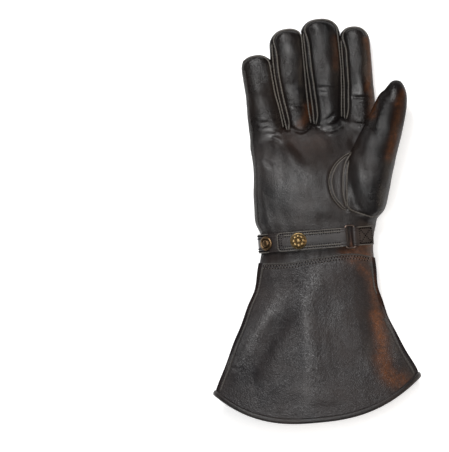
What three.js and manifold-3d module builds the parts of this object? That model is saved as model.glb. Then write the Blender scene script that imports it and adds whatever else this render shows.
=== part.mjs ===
// A right-hand leather gauntlet glove lying on its back, palm up: a one-piece hand folded round the forefinger
// side, three fourchettes, a thumb with its gusset, a flared two-panel cuff with a bound edge, and a wrist strap
// with its ring and snaps.
// Millimetres. X runs across the palm towards the thumb, Y from the cuff towards the fingertips, Z up from the
// surface that the glove lies on. The shapes are laid out from the middle of the wrist seam, and the finished
// group is moved so that its origin is the middle of its bounding box, at the surface.
import * as THREE from "three";
import { mergeVertices } from "three/addons/utils/BufferGeometryUtils.js";
import Module from "manifold-3d";

const wasm = await Module();
wasm.setup();

// Leather and seams.
const LEATHER = 1.5;
const SEAM_GAP = 0.3;

// Hand, from the wrist seam to the crotches of the fingers.
const HAND_LENGTH = 118;
const HAND_DEPTH = 41;
const HAND_SHIFT = -5.5;
const HAND_SQUARENESS = 2.35;
const CROTCH_TILT = 9;
const FLATTENED = 1.6;

// Fingers. Width is at the root, length from the crotch line to the tip, lean in degrees, and bow how far the
// middle swings towards the thumb.
const FINGER_SPACE = 0.8;
const FINGER_ROOT = 18;
const FINGER_CURL = 5;
const FINGER_SQUARENESS = 2.3;
const TIP_ROUNDING = 12;
const TIP_BLUNTNESS = 2.4;
const LITTLE_FINGER_WIDTH = 32.6;
const LITTLE_FINGER_TIP_WIDTH = 27.2;
const LITTLE_FINGER_DEPTH = 21.5;
const LITTLE_FINGER_LENGTH = 65.2;
const LITTLE_FINGER_LEAN = 9.4;
const RING_FINGER_WIDTH = 23.6;
const RING_FINGER_TIP_WIDTH = 28.6;
const RING_FINGER_DEPTH = 23;
const RING_FINGER_LENGTH = 88.4;
const RING_FINGER_LEAN = 7.5;
const RING_FINGER_BOW = -2.1;
const MIDDLE_FINGER_WIDTH = 25.7;
const MIDDLE_FINGER_TIP_WIDTH = 31.8;
const MIDDLE_FINGER_DEPTH = 24;
const MIDDLE_FINGER_LENGTH = 96.8;
const MIDDLE_FINGER_LEAN = 5.2;
const MIDDLE_FINGER_BOW = 1.2;
const FOREFINGER_WIDTH = 27.8;
const FOREFINGER_TIP_WIDTH = 24.8;
const FOREFINGER_DEPTH = 23.5;
const FOREFINGER_LENGTH = 90;
const FOREFINGER_LEAN = 3.8;
const FOREFINGER_BOW = 0.8;
const FOURCHETTE_HEIGHT = 16;
const FOURCHETTE_POINT = 3;

// Thumb.
const THUMB_LENGTH = 121;
const THUMB_SPREAD = 27;
const THUMB_RISE = 18;
const THUMB_WIDTH = 40;
const THUMB_DEPTH = 33;
const THUMB_SQUARENESS = 2.15;
const THUMB_ROOT_ACROSS = 42;
const THUMB_ROOT_ALONG = 40;
const THUMB_ROOT_HEIGHT = 21;

// Gusset beside the thumb, a lens in plan.
const QUIRK_LENGTH = 50;
const QUIRK_WIDTH = 32;
const QUIRK_TURN = -7;
const QUIRK_ACROSS = 25;
const QUIRK_ALONG = 71;

// Cuff, from the wrist seam to the mouth.
const CUFF_LENGTH = 107;
const MOUTH_WIDTH = 180;
const MOUTH_DEPTH = 48;
const MOUTH_SQUARENESS = 2.05;
const HEM_SAG = 31;
const HEM_TILT = 8;
const HEM_ROUNDNESS = 2.6;
const WRIST_BOW = 4;
const CUFF_SEAM_RISE = 5;
const BINDING_DIAMETER = 4.4;
const BINDING_LEG = 2.6;
const BINDING_GAP = 0.5;

// Wrist strap. Places along it are X positions, and settle is the angle in which it comes down from its fold.
const STRAP_WIDTH = 16.7;
const STRAP_THICKNESS = 1.5;
const STRAP_PLACE = 20;
const STRAP_SLANT = 0.085;
const STRAP_AIR = 0.8;
const STRAP_CORNER = 3;
const STRAP_SETTLE = 0.16;
const STRAP_TIP = -35.2;
const TAB_END = 46.5;

// Wire ring.
const RING_PLACE = 27.4;
const RING_WIRE = 1.7;
const RING_SPAN = 7.5;
const RING_CORNER = 2.2;
const RING_PLAY = 0.75;

// Snaps.
const STUD_DIAMETER = 12.4;
const STUD_HEIGHT = 2.2;
const STUD_PLACE = -44.6;
const ROSETTE_DIAMETER = 14.5;
const ROSETTE_HEIGHT = 3.2;
const ROSETTE_PETALS = 8;
const ROSETTE_PLACE = -17.2;

// How finely each form is faceted.
const HAND_SIDES = 24;
const HAND_RINGS = 11;
const FINGER_SIDES = 12;
const FINGER_RINGS = 5;
const CAP_RINGS = 3;
const THUMB_SIDES = 16;
const THUMB_RINGS = 12;
const CUFF_SIDES = 36;
const CUFF_RINGS = 7;
const BED_STEPS = 22;
const FOLD_STEPS = 6;
const WIRE_SIDES = 8;
const SNAP_SIDES = 16;

// The fingers from the little finger to the forefinger.
const FINGERS = [
  {
    width: LITTLE_FINGER_WIDTH,
    tipWidth: LITTLE_FINGER_TIP_WIDTH,
    depth: LITTLE_FINGER_DEPTH,
    length: LITTLE_FINGER_LENGTH,
    lean: LITTLE_FINGER_LEAN,
    bow: 0,
  },
  {
    width: RING_FINGER_WIDTH,
    tipWidth: RING_FINGER_TIP_WIDTH,
    depth: RING_FINGER_DEPTH,
    length: RING_FINGER_LENGTH,
    lean: RING_FINGER_LEAN,
    bow: RING_FINGER_BOW,
  },
  {
    width: MIDDLE_FINGER_WIDTH,
    tipWidth: MIDDLE_FINGER_TIP_WIDTH,
    depth: MIDDLE_FINGER_DEPTH,
    length: MIDDLE_FINGER_LENGTH,
    lean: MIDDLE_FINGER_LEAN,
    bow: MIDDLE_FINGER_BOW,
  },
  {
    width: FOREFINGER_WIDTH,
    tipWidth: FOREFINGER_TIP_WIDTH,
    depth: FOREFINGER_DEPTH,
    length: FOREFINGER_LENGTH,
    lean: FOREFINGER_LEAN,
    bow: FOREFINGER_BOW,
  },
];

const THUMB_ROOT = new THREE.Vector3(THUMB_ROOT_ACROSS, THUMB_ROOT_ALONG, THUMB_ROOT_HEIGHT);
const QUIRK_MIDDLE = new THREE.Vector2(QUIRK_ACROSS, QUIRK_ALONG);
const FINGERS_WIDTH = FINGERS.reduce((sum, finger) => sum + finger.width, 0);
const KNUCKLE_WIDTH = FINGERS_WIDTH + (FINGERS.length - 1) * FINGER_SPACE;
const BINDING_PROUD = BINDING_DIAMETER / 2 - LEATHER / 2;
const FOLD_RADIUS = RING_WIRE / 2 + SEAM_GAP + STRAP_THICKNESS / 2;

// The hand's sections. Along is a share of HAND_LENGTH, left and right of KNUCKLE_WIDTH, depth of HAND_DEPTH.
// Rise lifts the back off the surface as the cuff is, bow follows the wrist seam and tilt the crotches.
const HAND_SECTIONS = [
  { along: 0.0, left: -0.464, right: 0.45, depth: 0.94, rise: 1.0, bow: 1.0, tilt: 0.0 },
  { along: 0.1, left: -0.438, right: 0.44, depth: 0.88, rise: 1.0, bow: 0.4, tilt: 0.0 },
  { along: 0.19, left: -0.434, right: 0.448, depth: 0.87, rise: 0.6, bow: 0.0, tilt: 0.0 },
  { along: 0.29, left: -0.478, right: 0.473, depth: 0.95, rise: 0.0, bow: 0.0, tilt: 0.0 },
  { along: 0.39, left: -0.482, right: 0.5, depth: 1.0, rise: 0.0, bow: 0.0, tilt: 0.0 },
  { along: 0.51, left: -0.483, right: 0.511, depth: 1.02, rise: 0.0, bow: 0.0, tilt: 0.0 },
  { along: 0.64, left: -0.476, right: 0.522, depth: 0.97, rise: 0.0, bow: 0.0, tilt: 0.1 },
  { along: 0.79, left: -0.481, right: 0.518, depth: 0.84, rise: 0.0, bow: 0.0, tilt: 0.4 },
  { along: 0.9, left: -0.494, right: 0.504, depth: 0.68, rise: 0.2, bow: 0.0, tilt: 0.8 },
  { along: 0.98, left: -0.488, right: 0.488, depth: 0.5, rise: 0.9, bow: 0.0, tilt: 1.0 },
  { along: 1.03, left: -0.46, right: 0.46, depth: 0.34, rise: 1.5, bow: 0.0, tilt: 1.0 },
];

// A finger's sections. Along is a share of its length, width and depth of its own, and spread runs from its root
// width to its tip width.
const FINGER_SECTIONS = [
  { along: 0.0, spread: 0.0, width: 1.0, depth: 1.03 },
  { along: 0.2, spread: 0.27, width: 1.0, depth: 1.0 },
  { along: 0.36, spread: 0.64, width: 1.0, depth: 0.99 },
  { along: 0.43, spread: 0.8, width: 0.985, depth: 0.94 },
  { along: 0.5, spread: 0.92, width: 1.0, depth: 0.98 },
  { along: 0.7, spread: 1.0, width: 1.0, depth: 0.94 },
  { along: 1.0, spread: 1.0, width: 0.99, depth: 0.86 },
];

// The thumb's sections from root to tip. Across, along and rise are shares of its spread, length and rise, and
// width and depth of its own.
const THUMB_SECTIONS = [
  { across: -0.2, along: 0.0, rise: 0.04, width: 0.4, depth: 0.62 },
  { across: 0.03, along: 0.09, rise: 0.16, width: 0.86, depth: 0.96 },
  { across: 0.08, along: 0.22, rise: 0.36, width: 0.97, depth: 1.02 },
  { across: 0.22, along: 0.42, rise: 0.62, width: 1.01, depth: 1.0 },
  { across: 0.57, along: 0.64, rise: 0.86, width: 0.84, depth: 0.94 },
  { across: 0.84, along: 0.826, rise: 0.97, width: 0.69, depth: 0.84 },
  { across: 0.93, along: 0.876, rise: 0.99, width: 0.58, depth: 0.76 },
  { across: 0.967, along: 0.93, rise: 1.0, width: 0.43, depth: 0.6 },
  { across: 0.985, along: 0.971, rise: 1.0, width: 0.27, depth: 0.4 },
  { across: 1.0, along: 1.0, rise: 1.0, width: 0.09, depth: 0.14 },
];

// The cuff's sections. Along is a share of CUFF_LENGTH and shift of MOUTH_WIDTH. Flare, swell and sag run from the
// wrist's to the mouth's.
const CUFF_SECTIONS = [
  { along: 0.0, flare: 0.0, swell: 0.0, sag: 0.0, shift: 0.0 },
  { along: 0.18, flare: 0.08, swell: 0.08, sag: 0.14, shift: -0.004 },
  { along: 0.31, flare: 0.215, swell: 0.2, sag: 0.27, shift: -0.009 },
  { along: 0.46, flare: 0.35, swell: 0.36, sag: 0.42, shift: -0.012 },
  { along: 0.6, flare: 0.525, swell: 0.54, sag: 0.56, shift: -0.011 },
  { along: 0.77, flare: 0.72, swell: 0.74, sag: 0.74, shift: -0.006 },
  { along: 0.92, flare: 0.92, swell: 0.92, sag: 0.91, shift: 0.0 },
  { along: 1.0, flare: 1.0, swell: 1.0, sag: 1.0, shift: 0.0 },
];

// Soft dents of the palm side, from one end to the other. X and width are shares of KNUCKLE_WIDTH, depth of
// HAND_DEPTH, and Y of HAND_LENGTH above the wrist seam and of CUFF_LENGTH below it.
const DENTS = [
  { x0: -0.27, y0: 0.93, x1: -0.02, y1: 0.58, width: 0.054, depth: 0.063 },
  { x0: 0.06, y0: 0.9, x1: 0.02, y1: 0.72, width: 0.08, depth: 0.054 },
  { x0: -0.3, y0: 0.12, x1: 0.36, y1: 0.14, width: 0.062, depth: 0.037 },
  { x0: -0.36, y0: -0.5, x1: -0.52, y1: -0.8, width: 0.08, depth: 0.073 },
  { x0: 0.3, y0: -0.42, x1: 0.42, y1: -0.72, width: 0.089, depth: 0.049 },
];

const X_AXIS = new THREE.Vector3(1, 0, 0);
const Z_AXIS = new THREE.Vector3(0, 0, 1);
const PLAIN = { side: X_AXIS, up: Z_AXIS, squareness: 2, floor: 0, bow: 0, tilt: 0, dented: false };

// Value of a table's column at a place along it, as a smooth curve through its rows.
function sample(table, column, along) {
  const last = table.length - 1;
  let row = 0;
  while (row < last - 1 && table[row + 1].along < along) row += 1;
  const a = table[row];
  const b = table[row + 1];
  const before = table[Math.max(row - 1, 0)];
  const after = table[Math.min(row + 2, last)];
  const span = b.along - a.along;
  const t = THREE.MathUtils.clamp((along - a.along) / span, 0, 1);
  const slopeIn = ((b[column] - before[column]) / (b.along - before.along)) * span;
  const slopeOut = ((after[column] - a[column]) / (after.along - a.along)) * span;
  const t2 = t * t;
  const t3 = t2 * t;
  return (
    (2 * t3 - 3 * t2 + 1) * a[column] +
    (t3 - 2 * t2 + t) * slopeIn +
    (3 * t2 - 2 * t3) * b[column] +
    (t3 - t2) * slopeOut
  );
}

// How far the dents draw the palm side down at a point of the plan.
function dentDepth(x, y) {
  let total = 0;
  for (const dent of DENTS) {
    const start = new THREE.Vector2(dent.x0 * KNUCKLE_WIDTH, placeOnGlove(dent.y0));
    const end = new THREE.Vector2(dent.x1 * KNUCKLE_WIDTH, placeOnGlove(dent.y1));
    const line = end.clone().sub(start);
    const from = new THREE.Vector2(x, y).sub(start);
    const t = THREE.MathUtils.clamp(from.dot(line) / line.lengthSq(), 0, 1);
    const distance = from.sub(line.multiplyScalar(t)).length();
    total += dent.depth * HAND_DEPTH * Math.exp(-((distance / (dent.width * KNUCKLE_WIDTH)) ** 2));
  }
  return total;
}

function placeOnGlove(share) {
  return share * (share < 0 ? CUFF_LENGTH : HAND_LENGTH);
}

// A point of a section at an angle from its side direction, drawn in by inset and kept off the surface.
function sectionPoint(section, angle, inset) {
  const power = 2 / section.squareness;
  const across = Math.sign(Math.cos(angle)) * Math.abs(Math.cos(angle)) ** power;
  const height = Math.sign(Math.sin(angle)) * Math.abs(Math.sin(angle)) ** power;
  const forward = new THREE.Vector3().crossVectors(section.up, section.side);
  const point = section.centre
    .clone()
    .addScaledVector(section.side, across * (section.halfWidth - inset))
    .addScaledVector(section.up, height * (section.halfDepth - inset))
    .addScaledVector(forward, section.tilt * across - section.bow * Math.abs(across) ** HEM_ROUNDNESS);
  if (section.dented && height > 0) point.z -= height * dentDepth(point.x, point.y);
  point.z = Math.max(point.z, section.floor + inset);
  return point;
}

function sectionRing(section, sides, inset) {
  return Array.from({ length: sides }, (_, i) => sectionPoint(section, (2 * Math.PI * i) / sides, inset));
}

function shiftRing(ring, distance) {
  return ring.map((point) => new THREE.Vector3(point.x, point.y + distance, point.z));
}

// A closed form through rings of points with the same count. A looped one joins its last ring to its first.
function loft(rings, looped = false) {
  const count = rings[0].length;
  const points = rings.flat();
  const triangles = [];
  const spans = looped ? rings.length : rings.length - 1;
  for (let r = 0; r < spans; r += 1) {
    const next = (r + 1) % rings.length;
    for (let i = 0; i < count; i += 1) {
      const j = (i + 1) % count;
      const a = r * count + i;
      const b = r * count + j;
      const c = next * count + j;
      const d = next * count + i;
      triangles.push([a, b, c], [a, c, d]);
    }
  }
  if (!looped) {
    const end = (rings.length - 1) * count;
    for (let i = 1; i < count - 1; i += 1) {
      triangles.push([0, i + 1, i], [end, end + i, end + i + 1]);
    }
  }
  const volume = triangles.reduce((sum, [a, b, c]) => {
    return sum + points[a].dot(new THREE.Vector3().crossVectors(points[b], points[c]));
  }, 0);
  const outward = volume < 0 ? triangles.map(([a, b, c]) => [a, c, b]) : triangles;
  return new THREE.BufferGeometry().setFromPoints(points).setIndex(outward.flat());
}

function asSolid(geometry) {
  const bare = geometry.clone();
  bare.deleteAttribute("normal");
  bare.deleteAttribute("uv");
  const merged = mergeVertices(bare, 1e-4);
  return new wasm.Manifold(
    new wasm.Mesh({
      numProp: 3,
      vertProperties: merged.attributes.position.array,
      triVerts: new Uint32Array(merged.index.array),
    }),
  );
}

// The main piece of a cut solid as a geometry, without the specks that cuts can leave.
function asGeometry(solid) {
  const mesh = solid.getMesh();
  const whole = new THREE.BufferGeometry()
    .setAttribute("position", new THREE.BufferAttribute(mesh.vertProperties, 3))
    .setIndex(new THREE.BufferAttribute(mesh.triVerts, 1));
  const merged = mergeVertices(whole, 1e-3);
  const index = merged.index.array;
  const corner = (k) => new THREE.Vector3().fromBufferAttribute(merged.attributes.position, index[k]);
  const group = Array.from({ length: merged.attributes.position.count }, (_, i) => i);
  const groupOf = (i) => {
    let at = i;
    while (group[at] !== at) {
      group[at] = group[group[at]];
      at = group[at];
    }
    return at;
  };
  for (let k = 0; k < index.length; k += 3) {
    group[groupOf(index[k + 1])] = groupOf(index[k]);
    group[groupOf(index[k + 2])] = groupOf(index[k]);
  }
  const volumes = new Map();
  for (let k = 0; k < index.length; k += 3) {
    const key = groupOf(index[k]);
    const volume = corner(k).dot(corner(k + 1).cross(corner(k + 2)));
    volumes.set(key, (volumes.get(key) ?? 0) + volume);
  }
  const [main] = [...volumes].reduce((a, b) => (b[1] > a[1] ? b : a));
  const kept = [];
  for (let k = 0; k < index.length; k += 3) {
    const [a, b, c] = index.slice(k, k + 3);
    if (groupOf(a) === main && a !== b && b !== c && c !== a) kept.push(a, b, c);
  }
  return new THREE.BufferGeometry().setAttribute("position", merged.attributes.position).setIndex(kept);
}

function union(solids) {
  return solids.reduce((whole, solid) => whole.add(solid));
}

// A strip through stations. Each reaches from near to far along its side direction, and half up and down.
function strip(stations) {
  const rings = stations.map(({ centre, side, near, far, half }) => {
    const inner = centre.clone().addScaledVector(side, near);
    const outer = centre.clone().addScaledVector(side, far);
    return [
      new THREE.Vector3(inner.x, inner.y, inner.z - half),
      new THREE.Vector3(outer.x, outer.y, outer.z - half),
      new THREE.Vector3(outer.x, outer.y, outer.z + half),
      new THREE.Vector3(inner.x, inner.y, inner.z + half),
    ];
  });
  return asSolid(loft(rings));
}

// The hand's section at a share of its length, with the wrist seam at 0.
function handSection(along) {
  const shift = HAND_SHIFT * THREE.MathUtils.clamp(along, 0, 1);
  const left = shift + sample(HAND_SECTIONS, "left", along) * KNUCKLE_WIDTH;
  const right = shift + sample(HAND_SECTIONS, "right", along) * KNUCKLE_WIDTH;
  const halfDepth = (sample(HAND_SECTIONS, "depth", along) * HAND_DEPTH) / 2;
  const rise = sample(HAND_SECTIONS, "rise", along);
  const bottom = THREE.MathUtils.lerp(-FLATTENED, BINDING_PROUD, rise);
  return {
    ...PLAIN,
    centre: new THREE.Vector3((left + right) / 2, along * HAND_LENGTH, bottom + halfDepth),
    halfWidth: (right - left) / 2,
    halfDepth,
    squareness: HAND_SQUARENESS,
    bow: sample(HAND_SECTIONS, "bow", along) * WRIST_BOW,
    tilt: sample(HAND_SECTIONS, "tilt", along) * CROTCH_TILT,
    dented: true,
  };
}

// The palm and back as one closed form, drawn in by inset. Its wrist end runs on by extend.
function handBody(inset, extend = 0) {
  const last = HAND_SECTIONS.at(-1).along;
  const shares = Array.from({ length: HAND_RINGS }, (_, i) => (last * i) / (HAND_RINGS - 1));
  const sections = shares.map(handSection);
  sections.at(-1).centre.y -= inset;
  const rings = sections.map((section) => sectionRing(section, HAND_SIDES, inset));
  if (extend > 0) rings.unshift(shiftRing(rings[0], -extend));
  return asSolid(loft(rings));
}

// Where each finger starts and which way it runs.
function placeFingers() {
  let edge = HAND_SHIFT - KNUCKLE_WIDTH / 2;
  return FINGERS.map((finger) => {
    const lean = THREE.MathUtils.degToRad(finger.lean);
    const root = new THREE.Vector3(edge + finger.width / 2, HAND_LENGTH, 0);
    edge += finger.width + FINGER_SPACE;
    const forward = new THREE.Vector3(-Math.sin(lean), Math.cos(lean), 0);
    const side = new THREE.Vector3(Math.cos(lean), Math.sin(lean), 0);
    return { ...finger, root, forward, side };
  });
}

// A finger's section at a distance from the crotch line, with the finger's curl up from the surface.
function fingerSection(finger, distance) {
  const share = THREE.MathUtils.clamp(distance / finger.length, 0, 1);
  const centre = finger.root.clone().addScaledVector(finger.forward, distance);
  centre.addScaledVector(finger.side, finger.bow * 4 * share * (1 - share));
  centre.z = finger.depth / 2 - FLATTENED + FINGER_CURL * share * share;
  const width = THREE.MathUtils.lerp(finger.width, finger.tipWidth, sample(FINGER_SECTIONS, "spread", share));
  return {
    ...PLAIN,
    centre,
    side: finger.side,
    halfWidth: (sample(FINGER_SECTIONS, "width", share) * width) / 2,
    halfDepth: (sample(FINGER_SECTIONS, "depth", share) * finger.depth) / 2,
    squareness: FINGER_SQUARENESS,
  };
}

// A finger as a closed form, drawn in by inset, with a rounded tip.
function fingerBody(finger, inset) {
  const straight = finger.length - TIP_ROUNDING;
  const sections = [];
  for (let i = 0; i < FINGER_RINGS; i += 1) {
    const distance = -FINGER_ROOT + ((straight + FINGER_ROOT) * i) / (FINGER_RINGS - 1);
    sections.push(fingerSection(finger, distance));
  }
  for (let i = 1; i <= CAP_RINGS; i += 1) {
    const reach = Math.sin((Math.PI / 2) * (i / CAP_RINGS)) * 0.985;
    const section = fingerSection(finger, straight + (TIP_ROUNDING - inset) * reach);
    const shrink = (1 - reach ** TIP_BLUNTNESS) ** (1 / TIP_BLUNTNESS);
    section.halfWidth = inset + (section.halfWidth - inset) * shrink;
    section.halfDepth = inset + (section.halfDepth - inset) * shrink;
    sections.push(section);
  }
  return asSolid(loft(sections.map((section) => sectionRing(section, FINGER_SIDES, inset))));
}

// The thumb as a closed form along its curved path, drawn in by inset.
function thumbBody(inset) {
  const path = new THREE.CatmullRomCurve3(
    THUMB_SECTIONS.map(({ across, along, rise }) => {
      const offset = new THREE.Vector3(across * THUMB_SPREAD, along * THUMB_LENGTH, rise * THUMB_RISE);
      return THUMB_ROOT.clone().add(offset);
    }),
  );
  const last = THUMB_SECTIONS.length - 1;
  const sections = Array.from({ length: THUMB_RINGS }, (_, i) => {
    const t = i / (THUMB_RINGS - 1);
    const row = Math.min(Math.floor(t * last), last - 1);
    const mix = t * last - row;
    const forward = path.getTangent(t).normalize();
    const side = new THREE.Vector3().crossVectors(forward, Z_AXIS).normalize();
    const width = THREE.MathUtils.lerp(THUMB_SECTIONS[row].width, THUMB_SECTIONS[row + 1].width, mix);
    const depth = THREE.MathUtils.lerp(THUMB_SECTIONS[row].depth, THUMB_SECTIONS[row + 1].depth, mix);
    return {
      ...PLAIN,
      centre: path.getPoint(t),
      side,
      up: new THREE.Vector3().crossVectors(side, forward).normalize(),
      squareness: THUMB_SQUARENESS,
      halfWidth: (width * THUMB_WIDTH) / 2,
      halfDepth: (depth * THUMB_DEPTH) / 2,
    };
  });
  const wide = sections.filter((section) => section.halfWidth > Math.max(inset, 0) + LEATHER / 2);
  return asSolid(loft(wide.map((section) => sectionRing(section, THUMB_SIDES, inset))));
}

// Leather walls of the hand before its pieces are parted.
const fingers = placeFingers();
function handForm(inset, extend = 0) {
  return union([handBody(inset, extend), ...fingers.map((finger) => fingerBody(finger, inset))]);
}
const thumbInside = thumbBody(LEATHER);
const handWalls = handForm(0).subtract(handForm(LEATHER, 2 * LEATHER)).subtract(thumbInside);

// Cutter for one finger's side strip, narrowing from the crotch to a point near the tip.
function sideStrip(finger, direction, grown) {
  const steps = 5;
  const start = -FINGER_ROOT / 3;
  const end = finger.length - TIP_ROUNDING / 2;
  const stations = Array.from({ length: steps + 1 }, (_, i) => {
    const distance = THREE.MathUtils.lerp(start - grown, end + grown, i / steps);
    const section = fingerSection(finger, distance);
    return {
      centre: section.centre,
      side: section.side.clone().multiplyScalar(direction),
      near: section.halfWidth / 3 - grown,
      far: section.halfWidth + FINGER_SPACE / 2 + (i === 0 ? LEATHER : 0) + grown,
      half: THREE.MathUtils.lerp(FOURCHETTE_HEIGHT, FOURCHETTE_POINT, (i / steps) ** 3) / 2 + grown,
    };
  });
  return strip(stations);
}

function fourchetteCutter(index, grown) {
  return sideStrip(fingers[index], 1, grown).add(sideStrip(fingers[index + 1], -1, grown));
}

// Seam between the front and the back of a finger, over its tip from near to far across it.
function tipSeam(finger, near, far) {
  const from = finger.length - TIP_ROUNDING;
  const stations = [from, finger.length, finger.length + TIP_ROUNDING].map((distance) => {
    const { centre, side } = fingerSection(finger, distance);
    return { centre, side, near, far, half: SEAM_GAP / 2 };
  });
  return strip(stations);
}

// Seam down the outer side of the hand, from the little finger's tip to the wrist.
function outerSeam() {
  const little = fingers[0];
  const away = X_AXIS.clone().negate();
  const onHand = [-0.1, 0.1, 0.3, 0.5, 0.7, 0.85, 0.95].map((along) => {
    const { centre, halfWidth } = handSection(along);
    return { centre, side: away, near: halfWidth / 2, far: 1.2 * halfWidth, half: SEAM_GAP / 2 };
  });
  onHand[0].centre.y = -0.1 * HAND_LENGTH;
  const onFinger = [0.2, 0.45, 0.7, 1.0].map((share) => {
    const { centre, side, halfWidth } = fingerSection(little, share * little.length);
    const outward = side.clone().negate();
    return { centre, side: outward, near: 0, far: 1.6 * halfWidth, half: SEAM_GAP / 2 };
  });
  return strip([...onHand, ...onFinger]);
}

// Cutter for the gusset, grown by a margin: a lens in plan, through the palm's wall.
function quirkCutter(grown) {
  const halfLength = QUIRK_LENGTH / 2 + grown;
  const halfWidth = QUIRK_WIDTH / 2 + grown;
  const turn = THREE.MathUtils.degToRad(QUIRK_TURN);
  const outline = Array.from({ length: 16 }, (_, i) => {
    const angle = (2 * Math.PI * i) / 16;
    const reach = Math.cos(angle) * Math.abs(Math.cos(angle)) ** 0.4;
    return new THREE.Vector2(reach * halfWidth, Math.sin(angle) * halfLength)
      .rotateAround(new THREE.Vector2(), turn)
      .add(QUIRK_MIDDLE);
  });
  const lens = new THREE.ExtrudeGeometry(new THREE.Shape(outline), { depth: HAND_DEPTH, bevelEnabled: false });
  return asSolid(lens.translate(0, 0, HAND_DEPTH / 2));
}

const fourchettes = [0, 1, 2].map((index) => handWalls.intersect(fourchetteCutter(index, 0)));
const thumb = thumbBody(0).subtract(thumbInside).subtract(handForm(-SEAM_GAP));
const quirk = handWalls.intersect(quirkCutter(0));
const fingerCuts = union([
  ...[0, 1, 2].map((index) => fourchetteCutter(index, SEAM_GAP)),
  outerSeam(),
  ...fingers.map((finger, index) => tipSeam(finger, -finger.width, index < 3 ? finger.width : finger.width / 4)),
]);
const hand = handWalls.subtract(fingerCuts).subtract(quirkCutter(SEAM_GAP));

// The cuff's section at a share of its length. Its first one follows the hand's.
function cuffSection(along) {
  const wrist = handSection(0);
  const swell = sample(CUFF_SECTIONS, "swell", along);
  const sag = sample(CUFF_SECTIONS, "sag", along);
  const halfDepth = THREE.MathUtils.lerp(wrist.halfDepth, MOUTH_DEPTH / 2, swell);
  return {
    ...PLAIN,
    centre: new THREE.Vector3(
      wrist.centre.x + sample(CUFF_SECTIONS, "shift", along) * MOUTH_WIDTH,
      -along * CUFF_LENGTH - sag * HEM_SAG - SEAM_GAP,
      BINDING_PROUD + halfDepth - FLATTENED * along,
    ),
    halfWidth: THREE.MathUtils.lerp(wrist.halfWidth, MOUTH_WIDTH / 2, sample(CUFF_SECTIONS, "flare", along)),
    halfDepth,
    squareness: THREE.MathUtils.lerp(HAND_SQUARENESS, MOUTH_SQUARENESS, along),
    floor: BINDING_PROUD,
    bow: THREE.MathUtils.lerp(WRIST_BOW, -HEM_SAG, sag),
    tilt: HEM_TILT * along,
    dented: true,
  };
}

// Where the bound strip of the cuff starts, as a share of its length.
const BOUND_FROM = 1 - (1.5 * BINDING_LEG) / CUFF_LENGTH;

function cuffBody(inset, extend = 0) {
  const shares = Array.from({ length: CUFF_RINGS }, (_, i) => (BOUND_FROM * i) / (CUFF_RINGS - 1));
  const rings = [...shares, 1].map((along) => sectionRing(cuffSection(along), CUFF_SIDES, inset));
  if (extend > 0) {
    rings.unshift(shiftRing(rings[0], extend));
    rings.push(shiftRing(rings.at(-1), -extend));
  }
  return asSolid(loft(rings));
}

// Everything on one side of the cuff's side seams, upwards or downwards.
function cuffSide(direction) {
  const stations = Array.from({ length: CUFF_RINGS + 2 }, (_, i) => {
    const along = (i - 1) / (CUFF_RINGS - 1);
    const { centre } = cuffSection(THREE.MathUtils.clamp(along, 0, 1));
    centre.y = -along * (CUFF_LENGTH + HEM_SAG);
    centre.z += CUFF_SEAM_RISE + direction * (SEAM_GAP / 2 + MOUTH_DEPTH);
    return { centre, side: X_AXIS, near: -MOUTH_WIDTH, far: MOUTH_WIDTH, half: MOUTH_DEPTH };
  });
  return strip(stations);
}

// The rolled edge: a hook-shaped section round the mouth with the cuff's edge in its slot.
function bindingBody() {
  const outer = BINDING_DIAMETER / 2;
  const slot = LEATHER / 2 + BINDING_GAP;
  const slotEnd = LEATHER / 2 + BINDING_GAP;
  const corner = outer * Math.SQRT1_2;
  const outline = [
    [slot, -BINDING_LEG],
    [outer, -BINDING_LEG],
    [outer, SEAM_GAP],
    [corner, SEAM_GAP + corner],
    [0, SEAM_GAP + outer],
    [-corner, SEAM_GAP + corner],
    [-outer, SEAM_GAP],
    [-outer, -BINDING_LEG],
    [-slot, -BINDING_LEG],
    [-slot, slotEnd],
    [slot, slotEnd],
  ];
  const mouth = cuffSection(1);
  const before = cuffSection(BOUND_FROM);
  const middle = (section, angle) => {
    return sectionPoint(section, angle, 0).add(sectionPoint(section, angle, LEATHER)).multiplyScalar(0.5);
  };
  const step = (2 * Math.PI) / CUFF_SIDES;
  const rings = Array.from({ length: CUFF_SIDES }, (_, i) => {
    const angle = i * step;
    const point = middle(mouth, angle);
    const around = middle(mouth, angle + step).sub(middle(mouth, angle - step)).normalize();
    const onward = point.clone().sub(middle(before, angle));
    onward.addScaledVector(around, -onward.dot(around)).normalize();
    const outward = new THREE.Vector3().crossVectors(around, onward).normalize();
    return outline.map(([u, v]) => point.clone().addScaledVector(outward, u).addScaledVector(onward, v));
  });
  return loft(rings, true);
}

const cuffWalls = cuffBody(0).subtract(cuffBody(LEATHER, LEATHER));
const cuffPalm = cuffWalls.intersect(cuffSide(1));
const cuffBack = cuffWalls.intersect(cuffSide(-1));

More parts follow.
